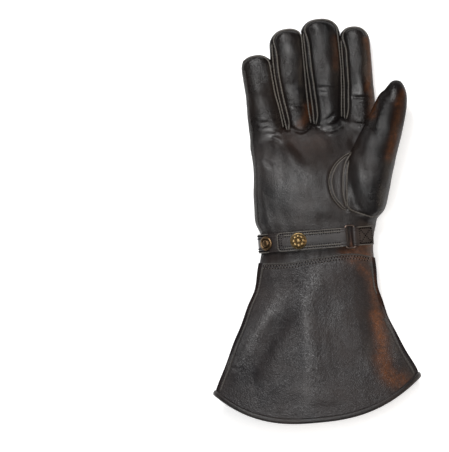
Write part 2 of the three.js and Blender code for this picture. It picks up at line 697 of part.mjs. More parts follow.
// The wrist's outline under the strap at an angle from the thumb side, clear of the hand over the strap's width.
function bedPoint(angle) {
  const nominal = sectionPoint(handSection(STRAP_PLACE / HAND_LENGTH), angle, 0);
  const y = STRAP_PLACE + STRAP_SLANT * nominal.x;
  const sections = [-0.5, -0.25, 0, 0.25, 0.5].map((k) => handSection((y + k * STRAP_WIDTH) / HAND_LENGTH));
  const left = Math.min(...sections.map(({ centre, halfWidth }) => centre.x - halfWidth));
  const right = Math.max(...sections.map(({ centre, halfWidth }) => centre.x + halfWidth));
  const bottom = Math.min(...sections.map(({ centre, halfDepth }) => centre.z - halfDepth));
  const top = Math.max(...sections.map(({ centre, halfDepth }) => centre.z + halfDepth));
  const bed = {
    ...PLAIN,
    centre: new THREE.Vector3((left + right) / 2, y, (bottom + top) / 2),
    halfWidth: (right - left) / 2,
    halfDepth: (top - bottom) / 2,
    squareness: HAND_SQUARENESS,
  };
  return sectionPoint(bed, angle, -STRAP_AIR);
}

// Angle of the bed where the strap passes over an X position on the palm side.
function bedAngle(x) {
  let low = 0;
  let high = Math.PI;
  for (let i = 0; i < 40; i += 1) {
    const middle = (low + high) / 2;
    if (bedPoint(middle).x > x) low = middle;
    else high = middle;
  }
  return (low + high) / 2;
}

// Directions across the strap, along it, and away from the wrist at an angle of the bed.
const STRAP_SIDE = new THREE.Vector3(-STRAP_SLANT, 1, 0).normalize();
function bedFrame(angle) {
  const along = bedPoint(angle - 0.01).sub(bedPoint(angle + 0.01));
  along.addScaledVector(STRAP_SIDE, -along.dot(STRAP_SIDE)).normalize();
  return { along, away: new THREE.Vector3().crossVectors(along, STRAP_SIDE).normalize() };
}

function bedLifted(angle, lift) {
  return bedPoint(angle).addScaledVector(bedFrame(angle).away, lift);
}

// Centre of the ring's bar at an angle of the bed, inside the strap's fold.
function barCentre(angle) {
  return bedLifted(angle, STRAP_THICKNESS / 2 + FOLD_RADIUS);
}

// Middle line of a strap that runs from one angle to another, folds round a bar there and comes back to a third.
// Direction is 1 if it starts towards the thumb side and -1 if away from it.
function foldedPath(from, fold, to, direction) {
  const half = STRAP_THICKNESS / 2;
  const stacked = half + STRAP_THICKNESS + SEAM_GAP;
  const stepsBetween = (a, b) => Math.max(3, Math.round((Math.abs(a - b) / Math.PI) * BED_STEPS));
  const { along, away } = bedFrame(fold);
  const bar = barCentre(fold);
  const points = [];
  const out = stepsBetween(from, fold);
  for (let i = 0; i < out; i += 1) points.push(bedLifted(THREE.MathUtils.lerp(from, fold, i / out), half));
  for (let i = 0; i <= FOLD_STEPS; i += 1) {
    const turn = (Math.PI * i) / FOLD_STEPS;
    const point = bar.clone().addScaledVector(away, -FOLD_RADIUS * Math.cos(turn));
    points.push(point.addScaledVector(along, direction * FOLD_RADIUS * Math.sin(turn)));
  }
  const back = stepsBetween(fold, to);
  for (let i = 1; i <= back; i += 1) {
    const angle = THREE.MathUtils.lerp(fold, to, i / back);
    const settle = Math.exp(-((Math.abs(angle - fold) / STRAP_SETTLE) ** 2));
    points.push(bedLifted(angle, THREE.MathUtils.lerp(stacked, half + 2 * FOLD_RADIUS, settle)));
  }
  return points;
}

// Leather strap along a middle line, with the corners of its last end rounded.
function strapBody(path) {
  const end = path.at(-1);
  const lead = end.clone().sub(path.at(-2)).normalize();
  const line = path.slice(0, -1).map((point) => ({ point, half: STRAP_WIDTH / 2 }));
  for (const turn of [0, Math.PI / 4, Math.PI / 2]) {
    const point = end.clone().addScaledVector(lead, STRAP_CORNER * (Math.sin(turn) - 1));
    line.push({ point, half: STRAP_WIDTH / 2 - STRAP_CORNER * (1 - Math.cos(turn)) });
  }
  const rings = line.map(({ point, half }, i) => {
    const next = line[Math.min(i + 1, line.length - 1)].point;
    const previous = line[Math.max(i - 1, 0)].point;
    const tangent = next.clone().sub(previous);
    tangent.addScaledVector(STRAP_SIDE, -tangent.dot(STRAP_SIDE)).normalize();
    const face = new THREE.Vector3().crossVectors(tangent, STRAP_SIDE).multiplyScalar(STRAP_THICKNESS / 2);
    const edge = STRAP_SIDE.clone().multiplyScalar(half);
    return [
      point.clone().add(face).add(edge),
      point.clone().add(face).sub(edge),
      point.clone().sub(face).sub(edge),
      point.clone().sub(face).add(edge),
    ];
  });
  return loft(rings);
}

const leftBar = bedAngle(RING_PLACE - RING_SPAN / 2);
const rightBar = bedAngle(RING_PLACE + RING_SPAN / 2);
const strap = strapBody(foldedPath(Math.PI, leftBar, bedAngle(STRAP_TIP), 1));
const tab = strapBody(foldedPath(bedAngle(TAB_END - LEATHER), rightBar, bedAngle(TAB_END), -1));

// The wire ring, a rounded rectangle round the two bars.
function ringBody() {
  const a = barCentre(leftBar);
  const b = barCentre(rightBar);
  const middle = a.clone().add(b).multiplyScalar(0.5);
  const across = b.clone().sub(a);
  across.addScaledVector(STRAP_SIDE, -across.dot(STRAP_SIDE));
  const halfSpan = across.length() / 2;
  const halfLength = STRAP_WIDTH / 2 + RING_PLAY + RING_WIRE / 2;
  across.normalize();
  const away = new THREE.Vector3().crossVectors(across, STRAP_SIDE).normalize();
  const rings = [];
  for (let quarter = 0; quarter < 4; quarter += 1) {
    for (let i = 0; i <= 3; i += 1) {
      const angle = (Math.PI / 2) * (quarter + i / 3);
      const u = (quarter === 0 || quarter === 3 ? 1 : -1) * (halfSpan - RING_CORNER);
      const v = (quarter < 2 ? 1 : -1) * (halfLength - RING_CORNER);
      const radial = across.clone().multiplyScalar(Math.cos(angle)).addScaledVector(STRAP_SIDE, Math.sin(angle));
      const centre = middle
        .clone()
        .addScaledVector(across, u)
        .addScaledVector(STRAP_SIDE, v)
        .addScaledVector(radial, RING_CORNER);
      const ring = Array.from({ length: WIRE_SIDES }, (_, k) => {
        const turn = (2 * Math.PI * k) / WIRE_SIDES;
        return centre
          .clone()
          .addScaledVector(radial, (RING_WIRE / 2) * Math.cos(turn))
          .addScaledVector(away, (RING_WIRE / 2) * Math.sin(turn));
      });
      rings.push(ring);
    }
  }
  return loft(rings, true);
}

// The open snap: a flanged disc with a ridge and a button.
function studBody() {
  const profile = [
    [0, 0],
    [1, 0],
    [1, 0.35],
    [0.86, 0.68],
    [0.74, 0.68],
    [0.67, 0.4],
    [0.52, 0.4],
    [0.45, 0.86],
    [0.22, 1],
    [0, 1],
  ];
  const points = profile.map(([r, h]) => new THREE.Vector2((r * STUD_DIAMETER) / 2, h * STUD_HEIGHT));
  return new THREE.LatheGeometry(points, SNAP_SIDES).rotateX(Math.PI / 2);
}

// The snap cap: a domed disc with a ring of petals round a button.
function rosetteBody() {
  const profile = [
    { radius: 1, height: 0, petal: 0 },
    { radius: 1, height: 0.3, petal: 0 },
    { radius: 0.9, height: 0.55, petal: 0.06 },
    { radius: 0.62, height: 0.85, petal: 0.1 },
    { radius: 0.38, height: 0.62, petal: 0.06 },
    { radius: 0.3, height: 0.9, petal: 0 },
    { radius: 0.12, height: 1, petal: 0 },
  ];
  const sides = ROSETTE_PETALS * 3;
  const rings = profile.map(({ radius, height, petal }) => {
    return Array.from({ length: sides }, (_, i) => {
      const angle = (2 * Math.PI * i) / sides;
      const reach = (radius + petal * Math.cos(ROSETTE_PETALS * angle)) * (ROSETTE_DIAMETER / 2);
      return new THREE.Vector3(reach * Math.cos(angle), reach * Math.sin(angle), height * ROSETTE_HEIGHT);
    });
  });
  return loft(rings);
}

const leather = { color: 0x2b2320, roughness: 0.48, metalness: 0 };
const wornLeather = { color: 0x332823, roughness: 0.55, metalness: 0 };
const bronze = { color: 0x8d8377, roughness: 0.35, metalness: 1 };
const brass = { color: 0xa58a52, roughness: 0.32, metalness: 1 };

function makeMesh(name, geometry, looks) {
  const mesh = new THREE.Mesh(geometry, new THREE.MeshStandardMaterial(looks));
  mesh.name = name;
  return mesh;
}

// Sets a snap flat on the strap where the strap passes over an X position, lifted off the wrist.
function setOnStrap(mesh, x, lift) {
  const angle = bedAngle(x);
  const { along, away } = bedFrame(angle);
  const basis = new THREE.Matrix4().makeBasis(along, STRAP_SIDE, away);
  mesh.quaternion.setFromRotationMatrix(basis);
  mesh.position.copy(bedLifted(angle, lift));
  return mesh;
}

const leatherwork = new THREE.Group();
leatherwork.add(
  makeMesh("hand", asGeometry(hand), leather),
  makeMesh("fourchette_little_ring", asGeometry(fourchettes[0]), leather),
  makeMesh("fourchette_ring_middle", asGeometry(fourchettes[1]), leather),
  makeMesh("fourchette_middle_index", asGeometry(fourchettes[2]), leather),
  makeMesh("thumb", asGeometry(thumb), leather),
  makeMesh("quirk", asGeometry(quirk), leather),
  makeMesh("cuff_palm", asGeometry(cuffPalm), wornLeather),
  makeMesh("cuff_back", asGeometry(cuffBack), wornLeather),
  makeMesh("cuff_binding", bindingBody(), leather),
);

const fastening = new THREE.Group();
fastening.add(
  makeMesh("wrist_strap", strap, wornLeather),
  makeMesh("strap_tab", tab, wornLeather),
  makeMesh("strap_ring", ringBody(), bronze),
  setOnStrap(makeMesh("snap_stud", studBody(), brass), STUD_PLACE, STRAP_THICKNESS + SEAM_GAP),
  setOnStrap(
    makeMesh("snap_rosette", rosetteBody(), brass),
    ROSETTE_PLACE,
    2 * (STRAP_THICKNESS + SEAM_GAP),
  ),
);

const glove = new THREE.Group();
glove.add(leatherwork, fastening);
const box = new THREE.Box3().setFromObject(glove, true);
const boxMiddle = box.getCenter(new THREE.Vector3());
glove.position.set(-boxMiddle.x, -boxMiddle.y, -box.min.z);

const group = new THREE.Group();
group.add(glove);
export default group;
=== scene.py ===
# Looks of a right-hand leather gauntlet glove that lies on its back, palm up, on a pale floor.
# Shapes are laid out in millimetres from the middle of the wrist seam, as the solids are: X runs across
# the palm towards the thumb, Y from the cuff towards the fingertips and Z up. GLOVE_SHIFT takes them to
# the frame's origin.
import math

import bpy
import numpy as np
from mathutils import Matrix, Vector
from mathutils.bvhtree import BVHTree

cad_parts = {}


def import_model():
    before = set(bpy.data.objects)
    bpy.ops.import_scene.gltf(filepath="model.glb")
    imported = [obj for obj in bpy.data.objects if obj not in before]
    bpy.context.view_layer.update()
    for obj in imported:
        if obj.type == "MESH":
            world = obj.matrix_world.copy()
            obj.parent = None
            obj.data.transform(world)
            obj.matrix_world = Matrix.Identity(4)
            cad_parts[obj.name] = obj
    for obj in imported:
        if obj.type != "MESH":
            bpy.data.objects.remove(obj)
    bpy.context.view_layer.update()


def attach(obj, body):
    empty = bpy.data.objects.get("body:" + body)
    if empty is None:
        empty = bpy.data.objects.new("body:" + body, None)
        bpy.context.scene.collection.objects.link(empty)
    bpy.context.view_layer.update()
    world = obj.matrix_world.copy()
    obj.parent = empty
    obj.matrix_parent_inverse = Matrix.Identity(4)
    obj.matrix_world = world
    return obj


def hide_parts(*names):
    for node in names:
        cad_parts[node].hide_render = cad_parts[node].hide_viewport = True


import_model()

MM = 0.001
GLOVE_SHIFT = np.array([0.79, -36.35, 0.02])
RANDOM = np.random.default_rng(7)

# Sizes of the solids.
LEATHER = 1.5
HAND_LENGTH = 118.0
HAND_DEPTH = 41.0
HAND_SHIFT = -5.5
HAND_SQUARENESS = 2.35
CROTCH_TILT = 9.0
FLATTENED = 1.6
FINGER_SPACE = 0.8
FINGER_ROOT = 18.0
FINGER_CURL = 5.0
FINGER_SQUARENESS = 2.3
TIP_ROUNDING = 12.0
TIP_BLUNTNESS = 2.4
FINGER_NAMES = ("little", "ring", "middle", "index")
FINGERS = (
    {"width": 32.6, "tip_width": 27.2, "depth": 21.5, "length": 65.2, "lean": 9.4, "bow": 0.0},
    {"width": 23.6, "tip_width": 28.6, "depth": 23.0, "length": 88.4, "lean": 7.5, "bow": -2.1},
    {"width": 25.7, "tip_width": 31.8, "depth": 24.0, "length": 96.8, "lean": 5.2, "bow": 1.2},
    {"width": 27.8, "tip_width": 24.8, "depth": 23.5, "length": 90.0, "lean": 3.8, "bow": 0.8},
)
THUMB_LENGTH = 121.0
THUMB_SPREAD = 27.0
THUMB_RISE = 18.0
THUMB_WIDTH = 40.0
THUMB_DEPTH = 33.0
THUMB_ROOT = np.array([42.0, 40.0, 21.0])
THUMB_SQUARENESS = 2.15
CUFF_LENGTH = 107.0
MOUTH_WIDTH = 180.0
MOUTH_DEPTH = 48.0
MOUTH_SQUARENESS = 2.05
HEM_SAG = 31.0
HEM_TILT = 8.0
HEM_ROUNDNESS = 2.6
WRIST_BOW = 4.0
SEAM_GAP = 0.3
BINDING_DIAMETER = 4.4
BINDING_LEG = 2.6
STRAP_WIDTH = 16.7
STRAP_THICKNESS = 1.5
STRAP_PLACE = 20.0
STRAP_SLANT = 0.085
STRAP_AIR = 0.8
STRAP_CORNER = 3.0
STRAP_TIP = -35.2
STRAP_START = -51.4
TAB_END = 46.5
RING_PLACE = 27.4
RING_WIRE = 1.7
RING_SPAN = 7.5
RING_CORNER = 2.2
RING_PLAY = 0.75
STUD_DIAMETER = 12.4
STUD_HEIGHT = 2.2
STUD_PLACE = -44.6
ROSETTE_DIAMETER = 14.5
ROSETTE_HEIGHT = 3.2
ROSETTE_PETALS = 8
ROSETTE_PLACE = -17.2

KNUCKLE_WIDTH = sum(f["width"] for f in FINGERS) + (len(FINGERS) - 1) * FINGER_SPACE
BINDING_PROUD = (BINDING_DIAMETER - LEATHER) / 2
FOLD_RADIUS = RING_WIRE / 2 + SEAM_GAP + STRAP_THICKNESS / 2
FOLD_POINTS = 13
STRAP_SETTLE = 0.16

# How finely the leather is meshed, how far its forms are drawn in before they are joined, and how far its
# flat back stays off the surface so that the seams there have room. Then the wall of its pieces, how far it
# runs into the cuff, the height above which it is the palm's, and the numbers of points round its forms.
VOXEL = 1.1
DRAWN_IN = 1.0
RESTING = 0.55
REST_ROUNDING = 0.7
SKIN_THICKNESS = 1.25
INSIDE_CUFF = 5.0
PALM_HEIGHT = 18.0
HAND_SIDES = 120
FINGER_SIDES = 72
THUMB_ROWS = 90

# How far the walls between the fingers swell, on each finger's left and right.
SWELL = ((0.0, 1.9), (1.6, 2.0), (2.0, 1.5), (1.7, 1.6))
# Where the seams of each finger's front begin, on its left and right, along the finger.
SEAM_STARTS = ((-4.0, -2.0), (-1.0, 3.0), (4.0, 8.6), (8.6, -4.0))

# Seams, and the distance of the strap's two rows of stitches from its edge.
RIDGE_WIDTH = 1.4
RIDGE_HEIGHT = 0.75
STITCH_PITCH = 2.6
THREAD = 0.27
STRAP_STITCH_ROWS = (1.7, 3.9)
STRAP_STITCHES = {"length": 1.0, "pitch": 2.0, "radius": 0.55}
STRAP_RIM = 0.45
LOW_STITCHES_END = 17.0
TAB_BOX_START = 4.6
TAB_BOX_FROM_END = 1.6


def table(columns, rows):
    """Columns of a table as arrays."""
    return dict(zip(columns.split(), np.array(rows, float).T))


HAND_SECTIONS = table("along left right depth rise bow tilt", [
    (0, -0.464, 0.45, 0.94, 1, 1, 0),
    (0.1, -0.438, 0.44, 0.88, 1, 0.4, 0),
    (0.19, -0.434, 0.448, 0.87, 0.6, 0, 0),
    (0.29, -0.478, 0.473, 0.95, 0, 0, 0),
    (0.39, -0.482, 0.5, 1, 0, 0, 0),
    (0.51, -0.483, 0.511, 1.02, 0, 0, 0),
    (0.64, -0.476, 0.522, 0.97, 0, 0, 0.1),
    (0.79, -0.481, 0.518, 0.84, 0, 0, 0.4),
    (0.9, -0.494, 0.504, 0.68, 0.2, 0, 0.8),
    (0.98, -0.488, 0.488, 0.5, 0.9, 0, 1),
    (1.03, -0.46, 0.46, 0.34, 1.5, 0, 1),
])
FINGER_SECTIONS = table("along spread width depth", [
    (0, 0, 1, 1.03),
    (0.2, 0.27, 1, 1),
    (0.36, 0.64, 1, 0.99),
    (0.43, 0.8, 0.985, 0.94),
    (0.5, 0.92, 1, 0.98),
    (0.7, 1, 1, 0.94),
    (1, 1, 0.99, 0.86),
])
THUMB_SECTIONS = table("across along rise width depth", [
    (-0.2, 0, 0.04, 0.4, 0.62),
    (0.03, 0.09, 0.16, 0.86, 0.96),
    (0.08, 0.22, 0.36, 0.97, 1.02),
    (0.22, 0.42, 0.62, 1.01, 1),
    (0.57, 0.64, 0.86, 0.84, 0.94),
    (0.84, 0.826, 0.97, 0.69, 0.84),
    (0.93, 0.876, 0.99, 0.58, 0.76),
    (0.967, 0.93, 1, 0.43, 0.6),
    (0.985, 0.971, 1, 0.27, 0.4),
    (1, 1, 1, 0.09, 0.14),
])
CUFF_SECTIONS = table("along flare swell sag shift", [
    (0, 0, 0, 0, 0),
    (0.18, 0.08, 0.08, 0.14, -0.004),
    (0.31, 0.215, 0.2, 0.27, -0.009),
    (0.46, 0.35, 0.36, 0.42, -0.012),
    (0.6, 0.525, 0.54, 0.56, -0.011),
    (0.77, 0.72, 0.74, 0.74, -0.006),
    (0.92, 0.92, 0.92, 0.91, 0),
    (1, 1, 1, 1, 0),
])

X_AXIS = np.array([1.0, 0.0, 0.0])
Z_AXIS = np.array([0.0, 0.0, 1.0])


def unit(v):
    return v / np.linalg.norm(v, axis=-1, keepdims=True)


def sample(columns, name, at, key="along"):
    """A column's value at places along it, as a smooth curve through its rows."""
    x, y = columns[key], columns[name]
    at = np.clip(np.asarray(at, float), x[0], x[-1])
    slope = np.empty_like(y)
    slope[1:-1] = (y[2:] - y[:-2]) / (x[2:] - x[:-2])
    slope[0] = (y[1] - y[0]) / (x[1] - x[0])
    slope[-1] = (y[-1] - y[-2]) / (x[-1] - x[-2])
    i = np.clip(np.searchsorted(x, at) - 1, 0, len(x) - 2)
    span = x[i + 1] - x[i]
    t = (at - x[i]) / span
    t2, t3 = t * t, t * t * t
    return (
        (2 * t3 - 3 * t2 + 1) * y[i]
        + (t3 - 2 * t2 + t) * slope[i] * span
        + (3 * t2 - 2 * t3) * y[i + 1]
        + (t3 - t2) * slope[i + 1] * span
    )


def lerp(a, b, t):
    return a + (b - a) * t


def smoothstep(low, high, x):
    t = np.clip((x - low) / (high - low), 0, 1)
    return t * t * (3 - 2 * t)


def signed_power(x, power):
    return np.sign(x) * np.abs(x) ** power


def circle(count):
    return np.linspace(0, 2 * math.pi, count, endpoint=False)


def run_along(points):
    """Distance of each point of a path from its start."""
    return np.concatenate([[0], np.cumsum(np.linalg.norm(np.diff(points, axis=0), axis=1))])


def picked(at, run, points):
    """Points at distances along a path."""
    return np.stack([np.interp(at, run, column) for column in np.transpose(points)], axis=1)


def section_points(s, angles, inset=0.0):
    """Points of a section at angles from its side direction, drawn in by inset."""
    power = 2 / s["squareness"]
    across = signed_power(np.cos(angles), power)
    height = signed_power(np.sin(angles), power)
    forward = np.cross(s["up"], s["side"])
    slide = s.get("tilt", 0.0) * across - s.get("bow", 0.0) * np.abs(across) ** HEM_ROUNDNESS
    points = (
        s["centre"]
        + np.outer(across * (s["half_width"] - inset), s["side"])
        + np.outer(height * (s["half_depth"] - inset), s["up"])
        + np.outer(slide, forward)
    )
    points[:, 2] = np.maximum(points[:, 2], s.get("floor", 0.0) + inset)
    return points


def hand_measures(along):
    """The hand's left and right edges, half depth and middle height at shares of its length."""
    shift = HAND_SHIFT * np.clip(along, 0, 1)
    left, right = (shift + sample(HAND_SECTIONS, side, along) * KNUCKLE_WIDTH for side in ("left", "right"))
    half_depth = sample(HAND_SECTIONS, "depth", along) * HAND_DEPTH / 2
    bottom = lerp(-FLATTENED, BINDING_PROUD, sample(HAND_SECTIONS, "rise", along))
    return left, right, half_depth, bottom + half_depth


def hand_section(along):
    left, right, half_depth, middle = hand_measures(along)
    return cross_section(
        ((left + right) / 2, along * HAND_LENGTH, middle), (right - left) / 2, half_depth, HAND_SQUARENESS,
        bow=sample(HAND_SECTIONS, "bow", along) * WRIST_BOW,
        tilt=sample(HAND_SECTIONS, "tilt", along) * CROTCH_TILT)


def cross_section(centre, half_width, half_depth, squareness, side=X_AXIS, up=Z_AXIS, **shape):
    return {
        "centre": np.array(centre), "side": side, "up": up, "squareness": squareness,
        "half_width": half_width, "half_depth": half_depth, **shape,
    }


def place_fingers():
    """Each finger's root and directions."""
    placed = []
    edge = HAND_SHIFT - KNUCKLE_WIDTH / 2
    for finger in FINGERS:
        lean = math.radians(finger["lean"])
        placed.append({
            **finger,
            "root": np.array([edge + finger["width"] / 2, HAND_LENGTH, 0.0]),
            "forward": np.array([-math.sin(lean), math.cos(lean), 0.0]),
            "side": np.array([math.cos(lean), math.sin(lean), 0.0]),
        })
        edge += finger["width"] + FINGER_SPACE
    return placed


PLACED = place_fingers()


def finger_measures(finger, distance):
    """A finger's half width, half depth, sideways bow and middle height at distances along it."""
    share = np.clip(distance / finger["length"], 0, 1)
    width = lerp(finger["width"], finger["tip_width"], sample(FINGER_SECTIONS, "spread", share))
    half_width = sample(FINGER_SECTIONS, "width", share) * width / 2
    half_depth = sample(FINGER_SECTIONS, "depth", share) * finger["depth"] / 2
    bow = finger["bow"] * 4 * share * (1 - share)
    return half_width, half_depth, bow, finger["depth"] / 2 - FLATTENED + FINGER_CURL * share * share


def finger_section(finger, distance):
    half_width, half_depth, bow, middle = finger_measures(finger, distance)
    centre = finger["root"] + finger["forward"] * distance + finger["side"] * bow
    centre[2] = middle
    return cross_section(centre, half_width, half_depth, FINGER_SQUARENESS, finger["side"])


def tip_shrink(into_tip):
    """How much of its width a finger keeps at shares of the way into its round tip."""
    return (1 - into_tip ** TIP_BLUNTNESS) ** (1 / TIP_BLUNTNESS)


def thumb_sections():
    """The thumb's sections along its path, which runs smoothly through the table's rows."""
    rows = {"row": np.arange(len(THUMB_SECTIONS["across"]), dtype=float), **THUMB_SECTIONS}
    at = np.linspace(0, rows["row"][-1], THUMB_ROWS)
    scale = {"across": THUMB_SPREAD, "along": THUMB_LENGTH, "rise": THUMB_RISE}
    path = THUMB_ROOT + np.stack([sample(rows, n, at, "row") * k for n, k in scale.items()], axis=1)
    tangent = unit(np.gradient(path, axis=0))
    sections = []
    for centre, forward, row in zip(path, tangent, at):
        side = unit(np.cross(forward, Z_AXIS))
        width, depth = (np.interp(row, rows["row"], rows[name]) for name in ("width", "depth"))
        sections.append(cross_section(
            centre, width * THUMB_WIDTH / 2, depth * THUMB_DEPTH / 2, THUMB_SQUARENESS,
            side, unit(np.cross(side, forward))))
    return sections


# Meshes.
def world(points):
    return (np.asarray(points) + GLOVE_SHIFT) * MM


def linked(name, data):
    made = bpy.data.objects.new(name, data)
    bpy.context.scene.collection.objects.link(made)
    return made


def make_object(name, points, faces):
    mesh = bpy.data.meshes.new(name)
    mesh.from_pydata(world(points).tolist(), [], [list(map(int, f)) for f in faces])
    mesh.validate()
    mesh.update()
    mesh.polygons.foreach_set("use_smooth", [True] * len(mesh.polygons))
    return linked(name, mesh)


def grid_faces(rows, columns, looped=True):
    """Quads of a grid of points, row by row. A looped one joins its last column to its first."""
    r, c = np.meshgrid(np.arange(rows - 1), np.arange(columns if looped else columns - 1), indexing="ij")
    r, c = r.ravel(), c.ravel()
    n = (c + 1) % columns
    return np.stack([r * columns + c, r * columns + n, (r + 1) * columns + n, (r + 1) * columns + c], axis=1)


def tube(rings):
    """Points and faces of a form through rings with closed ends, facing out."""
    rows, columns = len(rings), len(rings[0])
    faces = grid_faces(rows, columns).tolist()
    faces.append(list(range(columns))[::-1])
    faces.append([(rows - 1) * columns + i for i in range(columns)])
    points = np.concatenate(rings)
    if signed_volume(points, faces) < 0:
        faces = [f[::-1] for f in faces]
    return points, faces


def signed_volume(points, faces):
    fans = ((f[0], f[i], f[i + 1]) for f in faces for i in range(1, len(f) - 1))
    return sum(np.dot(points[a], np.cross(points[b], points[c])) for a, b, c in fans)


def joined(parts):
    """Several points-and-faces pairs as one."""
    points, faces, start = [], [], 0
    for part_points, part_faces in parts:
        points.append(part_points)
        faces.extend([[i + start for i in f] for f in part_faces])
        start += len(part_points)
    return np.concatenate(points), faces


def quad_edges(quads):
    return np.concatenate([quads[:, [k, (k + 1) % 4]] for k in range(4)])


def vertex_normals(points, quads):
    a, b, c, d = (points[quads[:, k]] for k in range(4))
    face_normal = np.cross(c - a, d - b)
    normals = np.zeros_like(points)
    for k in range(4):
        for axis in range(3):
            normals[:, axis] += np.bincount(quads[:, k], face_normal[:, axis], len(points))
    return normals / np.maximum(np.linalg.norm(normals, axis=1, keepdims=True), 1e-9)


def smoothed(points, faces, rounds, weight=0.5):
    """Points moved towards the middle of their neighbours. Weight may differ from point to point."""
    edges = quad_edges(faces)
    start, end = np.concatenate([edges, edges[:, ::-1]]).T
    count = np.maximum(np.bincount(start, minlength=len(points))[:, None], 1)
    weight = np.broadcast_to(np.asarray(weight, float), (len(points),))[:, None]
    for _ in range(rounds):
        total = np.stack([np.bincount(start, points[end, axis], len(points)) for axis in range(3)], axis=1)
        points = points + (total / count - points) * weight
    return points


def remeshed(points, faces, voxel):
    """One closed skin round overlapping closed forms, as points and quads."""
    source = make_object("skin_source", points, faces)
    remesh = source.modifiers.new("skin", "REMESH")
    remesh.mode = "VOXEL"
    remesh.voxel_size = voxel * MM
    depsgraph = bpy.context.evaluated_depsgraph_get()
    mesh = bpy.data.meshes.new_from_object(source.evaluated_get(depsgraph))
    co = np.empty(len(mesh.vertices) * 3)
    mesh.vertices.foreach_get("co", co)
    loops = np.empty(len(mesh.loops), int)
    mesh.loops.foreach_get("vertex_index", loops)
    bpy.data.objects.remove(source)
    return co.reshape(-1, 3) / MM - GLOVE_SHIFT, loops.reshape(-1, 4)


def thickened(points, quads, normals, thickness):
    """A skin with a wall inside it and a rim round each open edge."""
    count = len(points)
    edges = quad_edges(quads)
    keys, reverse = (edges[:, a].astype(np.int64) * count + edges[:, b] for a, b in ((0, 1), (1, 0)))
    rim = edges[~np.isin(keys, reverse)]
    rim_faces = np.stack([rim[:, 1], rim[:, 0], rim[:, 0] + count, rim[:, 1] + count], axis=1)
    inner = points - normals * thickness
    return np.concatenate([points, inner]), np.concatenate([quads, quads[:, ::-1] + count, rim_faces])


# Hand, fingers and thumb as closed forms.
def hand_tube(inset):
    last = HAND_SECTIONS["along"][-1]
    rings = []
    for along in np.linspace(-0.08, last, 80):
        section = hand_section(max(along, 0.0))
        section["centre"][1] = along * HAND_LENGTH - (inset if along == last else 0)
        rings.append(section_points(section, circle(HAND_SIDES), inset))
    return tube(rings)


def finger_tube(finger, inset):
    straight = finger["length"] - TIP_ROUNDING
    sections = [finger_section(finger, distance) for distance in np.linspace(-FINGER_ROOT, straight, 50)]
    for turn in np.linspace(0, math.pi / 2, 13)[1:]:
        reach = math.sin(turn) * 0.995
        section = finger_section(finger, straight + (TIP_ROUNDING - inset) * reach)
        for half in ("half_width", "half_depth"):
            section[half] = inset + (section[half] - inset) * tip_shrink(reach)
        sections.append(section)
    return tube([section_points(section, circle(FINGER_SIDES), inset) for section in sections])


def thumb_tube(inset):
    sections = thumb_sections()
    tip = sections[-1]["centre"]
    wide = [s for s in sections if np.linalg.norm(s["centre"] - tip) > 1.9 * inset]
    for section in wide:
        for half in ("half_width", "half_depth"):
            section[half] = max(section[half], inset + 0.5)
    return tube([section_points(section, circle(FINGER_SIDES), inset) for section in wide])


# How far points lie outside each form, and where they lie on it.
def oval_distance(across, height, power):
    """How far out a point lies in an oval's own measures: 1 on its outline."""
    return (np.abs(across) ** power + np.abs(height) ** power) ** (1 / power)


def outside_hand(points):
    def place(along):
        left, right, half_depth, middle = hand_measures(along)
        return (points[:, 0] - (left + right) / 2) / ((right - left) / 2), half_depth, middle

    along = points[:, 1] / HAND_LENGTH
    for _ in range(3):
        slide = sample(HAND_SECTIONS, "tilt", along) * CROTCH_TILT * place(along)[0]
        along = (points[:, 1] - slide) / HAND_LENGTH
    across, half_depth, middle = place(along)
    norm = oval_distance(across, (points[:, 2] - middle) / half_depth, HAND_SQUARENESS)
    past = (along - HAND_SECTIONS["along"][-1]) * HAND_LENGTH
    return np.maximum((norm - 1) * half_depth, past)


def on_finger(points, finger):
    """Distance along a finger, place across it, height from its middle, and its half width and depth."""
    from_root = points - finger["root"]
    distance = from_root @ finger["forward"]
    half_width, half_depth, bow, middle = finger_measures(finger, distance)
    return distance, from_root @ finger["side"] - bow, points[:, 2] - middle, half_width, half_depth


def outside_finger(points, finger):
    distance, across, height, half_width, half_depth = on_finger(points, finger)
    shrink = tip_shrink(np.clip((distance - finger["length"] + TIP_ROUNDING) / TIP_ROUNDING, 0, 0.999))
    norm = oval_distance(across / half_width / shrink, height / half_depth / shrink, FINGER_SQUARENESS)
    out = (norm - 1) * half_depth * shrink
    return np.where(distance < -FINGER_ROOT, 99.0, np.maximum(out, distance - finger["length"]))


def outside_thumb(points):
    sections = thumb_sections()
    centre, side, up, half_width, half_depth = (
        np.array([s[name] for s in sections])
        for name in ("centre", "side", "up", "half_width", "half_depth"))
    nearest = np.concatenate([
        np.argmin(((points[start:start + 20000, None] - centre) ** 2).sum(2), axis=1)
        for start in range(0, len(points), 20000)])
    away = points - centre[nearest]
    across = (away * side[nearest]).sum(1) / half_width[nearest]
    height = (away * up[nearest]).sum(1) / half_depth[nearest]
    return (oval_distance(across, height, THUMB_SQUARENESS) - 1) * half_depth[nearest]


# The cuff's sections.
def cuff_section(along):
    wrist = hand_section(0.0)
    flare, swell, sag, shift = (
        sample(CUFF_SECTIONS, name, along) for name in ("flare", "swell", "sag", "shift"))
    half_depth = lerp(wrist["half_depth"], MOUTH_DEPTH / 2, swell)
    centre = (
        wrist["centre"][0] + shift * MOUTH_WIDTH,
        -along * CUFF_LENGTH - sag * HEM_SAG - SEAM_GAP,
        BINDING_PROUD + half_depth - FLATTENED * along,
    )
    return cross_section(
        centre, lerp(wrist["half_width"], MOUTH_WIDTH / 2, flare), half_depth,
        lerp(HAND_SQUARENESS, MOUTH_SQUARENESS, along),
        floor=BINDING_PROUD, bow=lerp(WRIST_BOW, -HEM_SAG, sag), tilt=HEM_TILT * along)


